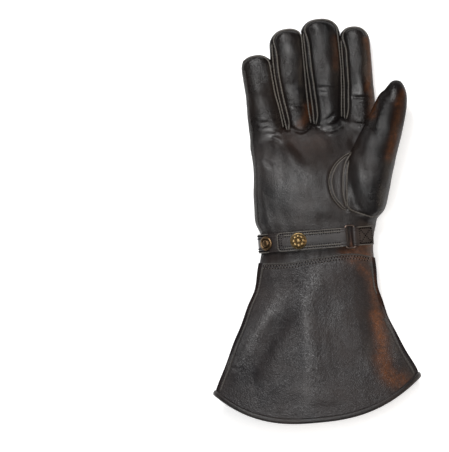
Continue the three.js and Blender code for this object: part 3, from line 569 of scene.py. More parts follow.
# Strap, tab, ring and snaps.
STRAP_SIDE = unit(np.array([-STRAP_SLANT, 1.0, 0.0]))


def bed_point(angle):
    """Where the strap's underside lies at an angle round the wrist, clear of the hand over its width."""
    nominal = section_points(hand_section(STRAP_PLACE / HAND_LENGTH), np.array([angle]))[0]
    y = STRAP_PLACE + STRAP_SLANT * nominal[0]
    shares = (y + np.linspace(-0.5, 0.5, 5) * STRAP_WIDTH) / HAND_LENGTH
    left, right, half_depth, middle = hand_measures(shares)
    low, high = (middle - half_depth).min(), (middle + half_depth).max()
    bed = cross_section(
        ((left.min() + right.max()) / 2, y, (low + high) / 2),
        (right.max() - left.min()) / 2, (high - low) / 2, HAND_SQUARENESS)
    return section_points(bed, np.array([angle]), -STRAP_AIR)[0]


def bed_angle(x):
    low, high = 0.0, math.pi
    for _ in range(30):
        middle = (low + high) / 2
        low, high = (middle, high) if bed_point(middle)[0] > x else (low, middle)
    return (low + high) / 2


def bed_frame(angle):
    along = bed_point(angle - 0.01) - bed_point(angle + 0.01)
    along = unit(along - STRAP_SIDE * (along @ STRAP_SIDE))
    return along, unit(np.cross(along, STRAP_SIDE))


def bed_lifted(angle, lift):
    return bed_point(angle) + bed_frame(angle)[1] * lift


def bar_centre(angle):
    return bed_lifted(angle, STRAP_THICKNESS / 2 + FOLD_RADIUS)


def folded_path(start, fold, end, direction):
    """Middle line of a strap that folds round a bar and comes back over itself."""
    half = STRAP_THICKNESS / 2
    stacked = half + STRAP_THICKNESS + SEAM_GAP
    along, away = bed_frame(fold)
    bar = bar_centre(fold)
    points = [bed_lifted(a, half) for a in np.linspace(start, fold, max(6, int(abs(start - fold) * 50)))[:-1]]
    for turn in np.linspace(0, math.pi, FOLD_POINTS):
        out = along * direction * math.sin(turn) - away * math.cos(turn)
        points.append(bar + out * FOLD_RADIUS)
    for a in np.linspace(fold, end, max(8, int(abs(end - fold) * 50)))[1:]:
        settle = math.exp(-((abs(a - fold) / STRAP_SETTLE) ** 2))
        points.append(bed_lifted(a, lerp(stacked, half + 2 * FOLD_RADIUS, settle)))
    return np.array(points)


def along_path(points, step):
    """A path's points spaced evenly."""
    run = run_along(points)
    return picked(np.linspace(0, run[-1], max(2, int(round(run[-1] / step)) + 1)), run, points)


def strap_tangent(path):
    tangent = np.gradient(path, axis=0)
    return unit(tangent - np.outer(tangent @ STRAP_SIDE, STRAP_SIDE))


def strap_form(path, rounded_end):
    """A leather strap with soft edges along a path. One end may have rounded corners."""
    path = along_path(path, 0.8)
    half = np.full(len(path), STRAP_WIDTH / 2)
    if rounded_end:
        inside = np.clip(STRAP_CORNER - np.linalg.norm(path - path[-1], axis=1), 0, STRAP_CORNER)
        half = half - (STRAP_CORNER - np.sqrt(np.maximum(STRAP_CORNER ** 2 - inside ** 2, 0)))
    face = np.cross(strap_tangent(path), STRAP_SIDE)
    across = signed_power(np.cos(circle(72)), 0.42)
    height = signed_power(np.sin(circle(72)), 0.5)
    rings = []
    for centre, out, half_width in zip(path, face, half):
        from_edge = half_width * (1 - np.abs(across))
        groove = sum(np.exp(-(((from_edge - row) / 0.5) ** 2)) for row in STRAP_STITCH_ROWS)
        thickness = STRAP_THICKNESS / 2 * (1 - 0.4 * groove)
        rings.append(centre + np.outer(across * half_width, STRAP_SIDE) + np.outer(height * thickness, out))
    return tube(rings)


def ring_form():
    a, b = (bar_centre(bed_angle(RING_PLACE + side * RING_SPAN / 2)) for side in (-1, 1))
    across = b - a
    across = across - STRAP_SIDE * (across @ STRAP_SIDE)
    half_span = np.linalg.norm(across) / 2
    half_length = STRAP_WIDTH / 2 + RING_PLAY + RING_WIRE / 2
    across = unit(across)
    away = unit(np.cross(across, STRAP_SIDE))
    turn = circle(20)
    rings = []
    for quarter in range(4):
        u = (1 if quarter in (0, 3) else -1) * (half_span - RING_CORNER)
        v = (1 if quarter < 2 else -1) * (half_length - RING_CORNER)
        for angle in math.pi / 2 * (quarter + np.linspace(0, 1, 11)):
            radial = across * math.cos(angle) + STRAP_SIDE * math.sin(angle)
            centre = (a + b) / 2 + across * u + STRAP_SIDE * v + radial * RING_CORNER
            wire = np.outer(np.cos(turn), radial) + np.outer(np.sin(turn), away)
            rings.append(centre + wire * RING_WIRE / 2)
    return closed_rings(rings)


def closed_rings(rings):
    """Points and faces of a form whose last ring joins its first."""
    rows, columns = len(rings), len(rings[0])
    return np.concatenate(rings), grid_faces(rows + 1, columns) % (rows * columns)


def turned_form(profile, diameter, height, x, lift, petals=None):
    """A snap turned from a profile of radius and height shares, lifted off the wrist at an X position."""
    angle = bed_angle(x)
    middle = bed_lifted(angle, lift)
    along, away = bed_frame(angle)
    turn = circle(96)
    rings = []
    for radius, rise in profile:
        reach, up = petals(turn, radius, rise) if petals else (radius, np.full(len(turn), rise))
        out = np.outer(reach * np.cos(turn), along) + np.outer(reach * np.sin(turn), STRAP_SIDE)
        rings.append(middle + out * diameter / 2 + np.outer(up * height, away))
    return tube(rings)


def rosette_petals(turn, radius, rise):
    """Pressed petals between the rim and the button of the snap cap."""
    band = math.exp(-(((radius - 0.6) / 0.2) ** 2))
    wave = np.abs(np.cos(turn * ROSETTE_PETALS / 2))
    reach = radius + 0.03 * band * (wave - 0.5)
    return reach, rise + band * (0.2 * wave ** 0.7 - 0.16)


# Materials.
class Recipe:
    """A material made node by node. A node's input that is given another node's output is linked to it."""

    def __init__(self, name):
        self.material = bpy.data.materials.new(name)
        self.material.use_nodes = True
        self.tree = self.material.node_tree
        self.place = self.add("TexCoord")["Object"]

    def connect(self, made, inputs):
        for key, value in inputs.items():
            if isinstance(value, bpy.types.NodeSocket):
                self.tree.links.new(value, made.inputs[key])
            else:
                made.inputs[key].default_value = value

    def add(self, kind, inputs=None, **settings):
        made = self.tree.nodes.new("ShaderNode" + kind)
        for key, value in settings.items():
            setattr(made, key, value)
        self.connect(made, inputs or {})
        return made.outputs

    def noise(self, scale, detail, rough=0.5):
        inputs = {"Vector": self.place, "Scale": scale, "Detail": detail, "Roughness": rough}
        return self.add("TexNoise", inputs)

    def fitted(self, value, low, high, to_low, to_high):
        limits = {"From Min": low, "From Max": high, "To Min": to_low, "To Max": to_high}
        return self.add("MapRange", {"Value": value, **limits})["Result"]

    def maths(self, operation, *values, clamp=False):
        return self.add("Math", dict(enumerate(values)), operation=operation, use_clamp=clamp)["Value"]

    def mixed(self, blend, share, first, second):
        inputs = {"Fac": share, "Color1": first, "Color2": second}
        return self.add("MixRGB", inputs, blend_type=blend)["Color"]

    def ramp(self, value, low, high, dark, bright):
        made = self.tree.nodes.new("ShaderNodeValToRGB")
        for element, position, colour in zip(made.color_ramp.elements, (low, high), (dark, bright)):
            element.position = position
            element.color = (*colour, 1)
        self.connect(made, {"Fac": value})
        return made.outputs["Color"]

    def painted(self, name):
        return self.add("Attribute", attribute_name=name)["Fac"]

    def shaded(self, **inputs):
        self.connect(self.tree.nodes["Principled BSDF"], {k.replace("_", " "): v for k, v in inputs.items()})
        return self.material


def leather(name, dark, brown, grain_size, grain_depth, roughness, shine=0.4):
    """Soft dyed hide: brown clouds in the near black, rubbed places and painted warm reflection, a pebbled
    grain, painted sheen and crease shade.
    """
    made = Recipe(name)
    clouds = made.noise(24, 6, 0.6)["Fac"]
    dyed = made.ramp(clouds, 0.35, 0.7, dark, brown)
    patchy = made.fitted(made.noise(260, 4, 0.7)["Fac"], 0.35, 0.62, 0.35, 1)
    # Rubbed brown, which along the right-hand edges is a painted warm reflection.
    rub_and_reflection = made.maths("MULTIPLY", made.painted("wear_and_warm_reflection"), patchy, clamp=True)
    tinted = made.mixed("MIX", rub_and_reflection, dyed, (*RUBBED_BROWN_AND_WARM_REFLECTION, 1))
    warped = made.mixed("ADD", 0.0022, made.place, made.noise(300, 3)["Color"])
    drawn = made.add("Mapping", {"Vector": warped, "Scale": (0.6, 1.15, 1)})["Vector"]
    cells = {"Vector": drawn, "Scale": 1000 / grain_size}
    grain = made.add("TexVoronoi", feature="DISTANCE_TO_EDGE", inputs=cells)["Distance"]
    pebble = made.fitted(grain, 0, 0.3, 0, 1)
    height = made.maths("MULTIPLY_ADD", made.noise(190, 5, 0.62)["Fac"], 3.2, pebble)
    bump = made.add("Bump", {"Strength": 1, "Distance": grain_depth * MM, "Height": height})["Normal"]
    polish = made.painted("polish")
    shade = made.mixed("MULTIPLY", 0.4, tinted, pebble)
    deeper = made.mixed("MULTIPLY", 1, shade, made.fitted(polish, 0, 1, 1, 0.55))
    dull = made.fitted(clouds, 0.3, 0.7, roughness - 0.08, roughness + 0.1)
    smooth = made.maths("MULTIPLY_ADD", polish, -0.15, dull)
    # Painted shade in creases: less specular where the surface is hollow.
    crease_shade = made.fitted(made.add("NewGeometry")["Pointiness"], 0.42, 0.495, 0.1, shine)
    # Painted sheen and shade: the painted sheen attribute scales the specular level.
    lit = made.maths("MULTIPLY_ADD", crease_shade, made.painted("painted_sheen"), crease_shade)
    return made.shaded(Base_Color=deeper, Roughness=smooth, Specular_IOR_Level=lit, Normal=bump)


def metal(name, bright, dark, roughness):
    """Old metal: painted shade in its hollows, and darker where it has tarnished."""
    made = Recipe(name)
    tarnish = made.noise(420, 6, 0.65)["Fac"]
    toned = made.ramp(tarnish, 0.25, 0.7, dark, bright)
    # Painted shade: darker where the surface is hollow.
    hollow_shade = made.fitted(made.add("NewGeometry")["Pointiness"], 0.43, 0.53, 0.12, 1)
    dull = made.fitted(tarnish, 0.3, 0.7, roughness + 0.12, roughness - 0.05)
    bump = made.add("Bump", {"Strength": 0.25, "Distance": 0.0002, "Height": tarnish})["Normal"]
    colour = made.mixed("MULTIPLY", 1, toned, hollow_shade)
    return made.shaded(Base_Color=colour, Metallic=1, Roughness=dull, Normal=bump)


# Brown of rubbed places; along the right-hand edges it is a painted warm reflection.
RUBBED_BROWN_AND_WARM_REFLECTION = (0.16, 0.055, 0.018)
HAND_LEATHER, CUFF_LEATHER, STRAP_LEATHER, DARK_THREAD_AND_HOLE_SHADE, HIGHLIT_SEAM_LEATHER, EDGE_LEATHER, THREAD_FINISH = (
    leather(*recipe) for recipe in (
        ("hand_leather", (0.0115, 0.0105, 0.011), (0.024, 0.0165, 0.014), 1.0, 0.075, 0.38, 0.37),
        ("cuff_leather", (0.0155, 0.014, 0.0155), (0.028, 0.021, 0.02), 1.4, 0.17, 0.37, 0.37),
        ("strap_leather", (0.014, 0.012, 0.012), (0.03, 0.019, 0.016), 1.0, 0.06, 0.38, 0.33),
        # Dark strap thread, also put in the stitch holes as painted shade.
        ("dark_thread_and_hole_shade", (0.002, 0.002, 0.002), (0.004, 0.003, 0.003), 0.8, 0.05, 0.7, 0.04),
        # Seam ridges and strap edges: their own paler edge colour, brightened further as a painted highlight.
        ("highlit_seam_leather", (0.078, 0.072, 0.064), (0.14, 0.122, 0.102), 0.8, 0.1, 0.36),
        ("edge_leather", (0.036, 0.033, 0.031), (0.062, 0.053, 0.046), 0.8, 0.08, 0.38),
        ("waxed_thread", (0.1, 0.085, 0.075), (0.15, 0.12, 0.1), 0.3, 0.02, 0.45),
    ))
BRONZE = metal("ring_bronze", (0.5, 0.38, 0.32), (0.2, 0.14, 0.12), 0.3)
BRASS = metal("snap_brass", (0.36, 0.25, 0.115), (0.12, 0.078, 0.038), 0.36)
OLD_BRASS = metal("stud_brass", (0.2, 0.125, 0.065), (0.07, 0.045, 0.026), 0.36)


def finish(piece, material, slot, *nodes):
    """Gives a piece its material, ties it to the part's one body and hides the parts of the model that it
    stands for.
    """
    piece.data.materials.append(material)
    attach(piece, "root")
    if nodes:
        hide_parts(*nodes)


# Camera and scene. The photograph is seen straight down, 449 pixels across and 0.88 mm each.
PHOTO_WIDTH = 449
PHOTO_HEIGHT = 452
PHOTO_SCALE = 0.88
PHOTO_ORIGIN = (318.0, 262.0)
CAMERA_HEIGHT = 5.0
GLOVE_LEVEL = 0.022


def make_camera():
    camera = bpy.data.cameras.new("camera")
    camera.sensor_width = 36
    camera.sensor_fit = "HORIZONTAL"
    camera.lens = camera.sensor_width * (CAMERA_HEIGHT - GLOVE_LEVEL) / (PHOTO_WIDTH * PHOTO_SCALE * MM)
    camera.clip_end = 20
    x = (PHOTO_WIDTH / 2 - PHOTO_ORIGIN[0]) * PHOTO_SCALE
    y = (PHOTO_ORIGIN[1] - PHOTO_HEIGHT / 2) * PHOTO_SCALE
    seen = linked("camera", camera)
    seen.location = (*world([x, y, 0])[:2], CAMERA_HEIGHT)
    bpy.context.scene.camera = seen


def area_light(name, place, size, power, colour):
    light = bpy.data.lights.new(name, "AREA")
    light.shape = "RECTANGLE"
    light.size, light.size_y = size
    light.energy = power
    light.color = colour
    lamp = linked(name, light)
    lamp.location = place
    lamp.rotation_euler = (-Vector(place)).to_track_quat("-Z", "Y").to_euler()


def make_studio():
    side = 6.0
    corners = [(-side, -side, 0.0), (side, -side, 0.0), (side, side, 0.0), (-side, side, 0.0)]
    floor = bpy.data.meshes.new("floor")
    floor.from_pydata(corners, [], [[0, 1, 2, 3]])
    stage = linked("floor", floor)
    white = (1, 1, 1, 1)
    paper = Recipe("white_paper")
    paper.shaded(Base_Color=(0.93, 0.93, 0.93, 1), Roughness=0.9, Emission_Color=white, Emission_Strength=0.5)
    floor.materials.append(paper.material)
    area_light("softbox", (-0.2, -0.1, 1.9), (0.65, 1.5), 19, (1.0, 0.995, 0.99))
    area_light("key", (-0.3, 0.8, 1.3), (0.3, 0.6), 16, (1.0, 0.99, 0.985))
    area_light("low_right", (1.1, -0.05, 0.4), (0.4, 0.9), 3.2, (1.0, 0.8, 0.62))
    air = bpy.data.worlds.new("air")
    bpy.context.scene.world = air
    air.use_nodes = True
    background = air.node_tree.nodes["Background"]
    background.inputs["Color"].default_value = white
    background.inputs["Strength"].default_value = 0.12
    bpy.context.scene.view_settings.view_transform = "Standard"


# Lines seen on the leather, in millimetres of the plan.
THUMB_SEAM = ((30.6, 98), (27, 88.9), (25.5, 80), (25, 72.2), (25.2, 60), (26.2, 48.4), (31.5, 44.6),
              (38.7, 42.2), (48.9, 40), (56.3, 46.6))
QUIRK_SEAM = ((29.2, 96.5), (22.5, 93), (14.5, 85.5), (10, 76), (9.4, 68), (12.6, 57), (21.1, 47),
              (25.4, 45.5))
INNER_SEAM = ((29, 95.5), (24.3, 88), (22.4, 80), (21.8, 72.2), (22.1, 60), (24.6, 48.6))
# Corners well outside the thumb, which close its seam into an outline.
PAST_THUMB = ((95, 60), (95, 170), (60, 170), (31, 98))

# How far seams run from the edges of the fingers and the hand.
FRONT_FROM_EDGE = 4.6
OUTER_FROM_EDGE = 0.9
RIGHT_FROM_EDGE = (1.7, 1, 1, 1)
TIP_FROM_EDGE = 1.35
ULNAR_FROM_EDGE = 2.7
BACK_FROM_EDGE = 3.2

# Folds of the palm side: line, width, depth and how much the leather stands up beside it.
FOLDS = (
    (((-29, 136.6), (-21, 137.6), (-12.5, 136.4)), 1.3, 1, 0.35),
    (((-30, 139.8), (-22, 140.6), (-13, 139)), 1.6, 0.4, 0.25),
    (((-3.5, 153), (6, 153.6), (17.6, 152.4)), 1.3, 1, 0.35),
    (((-2.5, 149.6), (7, 150), (16.5, 149.4)), 1.5, 0.45, 0.3),
    (((29, 145.2), (36, 144.6), (44.5, 145.6)), 1.3, 1.1, 0.4),
    (((30, 122.6), (36.5, 121.2), (44, 122.2)), 1.4, 1, 0.35),
    (((-27.5, 123), (-20.5, 116.4), (-13.6, 114.4), (-4.5, 121.5)), 1.3, 1.1, 0.3),
    (((-55, 121), (-46, 122.6), (-37, 119.8)), 1.5, 0.7, 0.4),
    (((-50, 117.4), (-42, 118), (-34, 115)), 1.4, 0.6, 0.4),
    (((-43, 113), (-38, 111.8), (-33.5, 109)), 1.5, 0.5, 0.6),
    (((-42, 108.5), (-37.5, 106.8), (-34, 103.5)), 1.3, 0.45, 0.6),
    (((8, 119), (15, 121.5), (20.5, 127.5)), 1.3, 0.7, 0.45),
    (((7, 114.5), (14.5, 116.8), (21.5, 121)), 1.5, 0.7, 0.4),
    (((4, 123.5), (10, 126.5), (15.5, 131.5)), 1.3, 0.6, 0.4),
    (((-26, 108.5), (-17, 98), (-7, 84.5)), 5, 2.1, 0.7),
    (((-14, 108), (-6, 98.5), (4, 92)), 5.5, 1, 0.6),
    (((-49, 90), (-44, 86.5), (-39, 84)), 2, 0.5, 0.3),
    (((28, 109), (32, 103), (34, 98)), 4, 1.2, 0.2),
    (((56, 150.5), (60, 146), (66, 144.5)), 2.2, 0.5, 0.2),
)
# Folds of the back.
BACK_FOLDS = (
    (((-38, 108), (-10, 111), (24, 112)), 2.2, 0.8, 0.3),
    (((-36, 134), (-26, 135), (-16, 134.5)), 1.8, 0.7, 0.3),
    (((-6, 146), (6, 147), (18, 146)), 1.8, 0.7, 0.3),
    (((27, 142), (36, 142.5), (46, 141.5)), 1.8, 0.7, 0.3),
    (((-36, 18), (-10, 15), (30, 19)), 2.4, 0.8, 0.3),
)
# Folds of the cuff.
CUFF_FOLDS = (
    (((-36.1, -34.3), (-52, -56), (-68, -80), (-77.4, -89.8)), 7, -2.4, 0),
    (((-28, -48), (-44, -72), (-58, -96)), 8, 2.2, 0),
    (((-78.3, -91.5), (-72, -93.2), (-65.5, -93)), 1.4, 0.9, 0.3),
    (((-76, -95.5), (-70, -95.8), (-66, -95)), 1.2, 0.6, 0.3),
    (((-48, -22), (-30, -19), (-14, -22)), 6, 0.8, 0.3),
    (((34, -14), (45, -38), (50, -70), (58, -100)), 9, 1.7, 0.5),
    (((-2, -8), (-10, -40), (-8, -72), (-6, -104)), 9, -1.9, 0),
    (((10, -36), (22, -62), (24, -88)), 11, 0.7, 0),
    (((-34, -120), (-6, -128), (20, -128)), 5, 0.8, 0.4),
)
# Pintucks on the back.
TUCKS = (((-36, 90), (-16, 34)), ((-7, 109), (-0.4, 45)), ((24.5, 112), (12.4, 39)))

# Rubbed places where the brown under the dye shows, and painted warm reflection along the right-hand edges of
# index finger, thumb, wrist and cuff: line, width and strength.
WORN_AND_WARM_REFLECTION = (
    (((38, -4), (46, -14), (50, -33), (54, -54)), 4.5, 0.5),
    (((51, -46), (55, -66), (57, -84)), 5.5, 1),
    (((56, -84), (62, -100), (72, -104)), 7.5, 0.75),
    (((44, 152), (46.5, 178), (43, 196)), 3, 0.9),
    (((47, 128), (48.5, 144), (46, 152)), 3.2, 0.8),
    (((15, 196), (17, 184), (15.5, 172)), 3.6, 0.4),
    (((-16, 121), (-10, 128), (-9, 137)), 3.4, 0.75),
    (((62, 92), (68, 118), (72, 142)), 4, 0.55),
    (((69, 138), (74, 148)), 3.5, 0.7),
    (((-28, 112), (-14, 104), (2, 108)), 9, 0.08),
    (((28, 12), (42, 18)), 9, 0.7),
    (((30, 3), (44, 6)), 5, 0.6),
)

# Painted sheen: places of the palm side painted to shine more than the rest, as highlights, or less, as
# shade: line, width and strength.
PAINTED_SHEEN_PLACES = (
    (((-24, 104), (0, 98), (24, 108)), 17, -0.55),
    (((-48, 108), (-36, 108)), 10, -0.2),
    (((10, 88), (6, 70)), 12, -0.25),
    (((-45, 84), (-45, 30)), 9, 0.75),
    (((-12, 60), (-6, 20)), 20, 0.15),
    (((-42, 112.5), (-33, 106)), 3.4, 1.3),
    (((-46, 118.5), (-36, 117)), 2, 0.8),
    (((-26, 189), (-20.5, 183)), 3, 1.2),
    (((8, 114), (14, 119), (19, 124.5)), 3, 1.2),
    (((-18.5, 170), (-18, 142)), 2.6, 0.7),
    (((10, 172), (9.5, 152)), 2.6, 0.7),
    (((37, 178), (35.5, 150)), 2.6, 0.6),
    (((-46.5, 172), (-47, 160)), 2.4, 0.8),
    (((66.5, 152), (66, 144)), 3, 0.9),
    (((66, 154), (70, 130), (62, 100)), 12, -0.7),
    (((36, 90), (34, 60), (36, 50)), 5, 0.9),
    (((46, 92), (44, 84)), 7, 0.4),
    # Painted shade in the strip between the cuff seam and the strap.
    (((-50, 3), (0, 8), (28, 11)), 4.5, -0.7),
    (((-36.1, -34.3), (-52, -56), (-68, -80), (-77.4, -89.8)), 6, 0.8),
    (((-24, -48), (-40, -72), (-52, -96)), 8, -0.5),
    (((2, -6), (-8, -30), (-9, -60), (-7, -84), (-10, -122)), 7, 0.6),
    (((18, -40), (10, -56)), 6, 0.4),
    (((46, -72), (42, -92)), 5, 0.45),
    (((60, -40), (64, -62), (68, -82)), 3.4, 0.9),
    (((38, -8), (46, -40), (54, -80), (66, -104)), 9, -0.35),
    (((-60, -100), (-40, -112)), 12, -0.25),
)


def near_line(xy, line):
    """Distance of points from a line of the plan, and where along it they lie, from 0 to 1."""
    line = np.array(line, float)
    best = np.full(len(xy), 1e9)
    place = np.zeros(len(xy))
    run = run_along(line)
    for a, b, start in zip(line[:-1], line[1:], run):
        span = b - a
        t = np.clip(((xy - a) @ span) / (span @ span), 0, 1)
        distance = np.linalg.norm(xy - a - t[:, None] * span, axis=1)
        closer = distance < best
        best[closer] = distance[closer]
        place[closer] = (start + t[closer] * np.linalg.norm(span)) / run[-1]
    return best, place


def curved(line, step):
    """A smooth curve through a line's points, spaced evenly."""
    line = np.array(line, float)
    run = run_along(line)
    at = np.linspace(0, run[-1], max(3, int(run[-1] / step) + 1))
    return np.stack([sample({"run": run, "place": column}, "place", at, "run") for column in line.T], axis=1)


def hump(x, width):
    """A bell from 1 at 0 down to nothing."""
    return np.exp(-((x / width) ** 2))


def folded(points, normals, folds, facing, fading=0.6):
    """Points pressed in along folds on the side that faces up or down."""
    side = smoothstep(0.1, 0.5, normals[:, 2] * facing)
    push = np.zeros(len(points))
    for line, width, depth, shoulder in folds:
        distance, place = near_line(points[:, :2], curved(line, 1.0))
        fade = np.sin(np.pi * np.clip(place, 0.02, 0.98)) ** fading
        push += fade * (shoulder * hump(distance - 2.1 * width, 1.1 * width) - depth * hump(distance, width))
    return points + normals * (push * side)[:, None]


# Waves of the soft leather, two of each kind: shortest and longest length, and size.
WAVE_KINDS = ((34, 60, 0.32), (20, 34, 0.2), (12, 18, 0.09), (7, 10, 0.05))
WAVES = [
    (unit(RANDOM.normal(size=3)), 2 * math.pi / RANDOM.uniform(low, high), RANDOM.uniform(0, 6.3), size)
    for low, high, size in WAVE_KINDS for _ in range(2)]


def uneven(points, amount=1.0):
    """How far soft leather stands in or out from its even form."""
    total = np.zeros(len(points))
    for direction, turn, phase, size in WAVES:
        total += size * np.sin(points @ direction * turn + phase + 0.8 * np.sin(points[:, 0] * 0.05 + phase))
    return total * amount


# Leather of the hand, fingers and thumb.
def hand_skin():
    forms = [hand_tube(DRAWN_IN), thumb_tube(DRAWN_IN)] + [finger_tube(f, DRAWN_IN) for f in PLACED]
    points, faces = remeshed(*joined(forms), VOXEL)
    points = smoothed(points, faces, 5)
    # More rounds blend the thumb into the hand, even out the fingers and soften the outer edge of the palm.
    thumb = outside_thumb(points)
    joint = hump(thumb, 4.5) * hump(outside_hand(points), 4.5) * smoothstep(100, 88, points[:, 1])
    points = smoothed(points, faces, 40, 0.5 * np.clip(joint * 1.6, 0, 1))
    points = smoothed(points, faces, 14, 0.5 * smoothstep(120, 140, points[:, 1]) * (thumb < 2))
    x, y, _ = points.T
    outer = smoothstep(-46, -53, x) * smoothstep(55, 75, y) * smoothstep(160, 140, y)
    points = smoothed(points, faces, 40, 0.5 * outer)
    points = points + vertex_normals(points, faces) * DRAWN_IN
    points = smoothed(points, faces, 2)
    points = points + between_fingers(points)
    normals = vertex_normals(points, faces)
    points = folded(points, normals, FOLDS, 1)
    points = folded(points, normals, BACK_FOLDS, -1)
    points = folded(points, normals, [(line, 1.25, 0.5, 0.2) for line in hand_seam_lines()], 1, fading=0.15)
    soft = smoothstep(0.1, 0.7, np.abs(normals[:, 2]))
    points = points + normals * (soft * (uneven(points) + gathered(points)))[:, None]
    points[:, 2] = RESTING + REST_ROUNDING * np.logaddexp(0, (points[:, 2] - RESTING) / REST_ROUNDING)
    return points, faces


def between_fingers(points):
    """The side strips swell towards the next finger below the finger's middle, and all but close the gap."""
    moved = np.zeros_like(points)
    for finger, swells in zip(PLACED, SWELL):
        distance, across, height, half_width, _ = on_finger(points, finger)
        length = finger["length"]
        mine = outside_finger(points, finger) < 1.5
        low = smoothstep(12, 3, height) * smoothstep(-12, -7, height)
        along = smoothstep(-6, 6, distance) * smoothstep(length * 0.99, length * 0.84, distance)
        for side, swell in zip((-1, 1), swells):
            wall = smoothstep(0.7, 0.95, across * side / half_width)
            moved += np.outer(mine * low * along * wall * swell * side, finger["side"])
    return moved


def gathered(points):
    """Small uneven pleats where the strap draws the leather in above the cuff."""
    x, y, _ = points.T
    pleats = np.sin(x * 0.83 + 1.3 * np.sin(x * 0.21) + 0.16 * y)
    pleats = pleats + 0.7 * np.sin(x * 1.37 + 2.0 * np.sin(x * 0.13 + 1))
    return hump(y - 8, 6) * (0.07 * pleats * (0.6 + 0.4 * np.sin(x * 0.11 + 2)) - 0.7)


def labels(points):
    """Which form each point lies on: 0 the hand, 1 to 4 the fingers and 5 the thumb."""
    outside = [outside_hand(points)] + [outside_finger(points, f) for f in PLACED] + [outside_thumb(points)]
    return np.argmin(np.stack(outside), axis=0)


def inside_outline(xy, outline):
    """Which points of the plan lie within an outline."""
    outline = np.array(outline, float)
    inside = np.zeros(len(xy), bool)
    for (ax, ay), (bx, by) in zip(outline, np.roll(outline, -1, axis=0)):
        crosses = (ay > xy[:, 1]) != (by > xy[:, 1])
        with np.errstate(divide="ignore", invalid="ignore"):
            at = ax + (xy[:, 1] - ay) / (by - ay) * (bx - ax)
        inside ^= crosses & (xy[:, 0] < at)
    return inside


def front_edges(k, distance):
    """Places across a finger of its front's two seams, which draw together round the tip."""
    length = PLACED[k]["length"]
    half = finger_measures(PLACED[k], distance)[0]
    shrink = tip_shrink(np.clip((distance - length + TIP_ROUNDING) / (TIP_ROUNDING - TIP_FROM_EDGE), 0, 1))
    drawn = smoothstep(length - 1.8 * TIP_ROUNDING, length - 0.5 * TIP_ROUNDING, distance)
    left = lerp(FRONT_FROM_EDGE, TIP_FROM_EDGE + 0.8, drawn)
    left = left - 2.2 * smoothstep(9, 0, distance - SEAM_STARTS[k][0])
    return -(half - left) * shrink, (half - RIGHT_FROM_EDGE[k]) * shrink


def brushed(points, strokes):
    """Each stroke's strength at each point, and 0 as one more row."""
    rows = [np.zeros(len(points))]
    for line, width, strength in strokes:
        rows.append(strength * hump(near_line(points[:, :2], curved(line, 2.0))[0], width))
    return np.array(rows)


def painted_sheen(points, normals):
    """Painted sheen: how much more, or less, than usual the leather shines at the listed places, less on the
    fingers, with painted shade on its steep sides.
    """
    total = np.where(normals[:, 2] > 0, brushed(points, PAINTED_SHEEN_PLACES).sum(axis=0), 0)
    total -= 0.26 * smoothstep(112, 130, points[:, 1])
    # Painted shade: the steeper the surface, the less it shines.
    side = smoothstep(0.8, 0.25, np.abs(normals[:, 2]))
    return (1 + np.clip(total, -0.8, 1.5)) * (1 - 0.85 * side) - 1


def skin_piece(name, points, faces, normals, thickness, upward_painted_shade=0.0):
    """A leather panel that records where its dye is rubbed off or a warm reflection is painted, where it is
    stretched, and its painted sheen and shade.
    """
    up, y = normals[:, 2], points[:, 1]
    stretched = np.maximum(
        smoothstep(104, 122, y), 0.3 * smoothstep(3, 0, outside_thumb(points)) * smoothstep(40, 52, y))
    looks = {
        "wear_and_warm_reflection": brushed(points, WORN_AND_WARM_REFLECTION).max(axis=0) * smoothstep(-0.2, 0.3, up),
        "polish": stretched,
        # Painted shade on the upward faces of a panel that is given it.
        "painted_sheen": painted_sheen(points, normals) - upward_painted_shade * smoothstep(-0.1, 0.2, up),
    }
    piece = make_object(name + "_leather", *thickened(points, faces, normals, thickness))
    for look, values in looks.items():
        layer = piece.data.attributes.new(look, "FLOAT", "POINT")
        layer.data.foreach_set("value", np.tile(values, 2).astype(np.float32))
    return piece


def build_hand():
    points, faces = hand_skin()
    normals = vertex_normals(points, faces)
    centres = points[faces].mean(axis=1)
    facing = normals[faces].mean(axis=1)[:, 2]
    label = labels(centres)
    wrist = centres[:, 1] > -INSIDE_CUFF
    on_palm = (facing > 0.15) & (centres[:, 2] > PALM_HEIGHT)
    over_thumb = [*curved(THUMB_SEAM, 1.5), *PAST_THUMB]
    near_joint = (centres[:, 1] < 100) & on_palm & np.isin(label, (0, 5))
    thumb = wrist & np.where(near_joint, inside_outline(centres[:, :2], over_thumb), label == 5)
    lens = [*curved(QUIRK_SEAM, 1.5), *curved(THUMB_SEAM[:6], 1.5)[::-1]]
    quirk = wrist & ~thumb & on_palm & inside_outline(centres[:, :2], lens)
    side_strip = np.zeros((3, len(faces)), bool)
    for k, finger in enumerate(PLACED):
        distance, across, height, half_width, _ = on_finger(centres, finger)
        left, right = front_edges(k, distance)
        mine = (label == k + 1) & (distance < finger["length"] - 0.55 * TIP_ROUNDING) & (distance > -9)
        upper = height > 0
        if k > 0:
            side_strip[k - 1] |= mine & (across < np.where(upper, left, 2.0 - half_width))
        if k < 3:
            side_strip[k] |= mine & (across > np.where(upper, right, half_width - 3.6))
    body = wrist & ~thumb & ~quirk & ~side_strip.any(axis=0)
    chosen = {"hand": body, "thumb": thumb, "quirk": quirk}
    for k, strip in enumerate(side_strip):
        chosen[f"fourchette_{FINGER_NAMES[k]}_{FINGER_NAMES[k + 1]}"] = strip
    for name, mask in chosen.items():
        kept = faces[mask]
        used, renumbered = np.unique(kept, return_inverse=True)
        piece = skin_piece(name, points[used], renumbered.reshape(kept.shape), normals[used], SKIN_THICKNESS)
        finish(piece, HAND_LEATHER, "glove_leather", name)
    return BVHTree.FromPolygons(points.tolist(), faces.tolist())


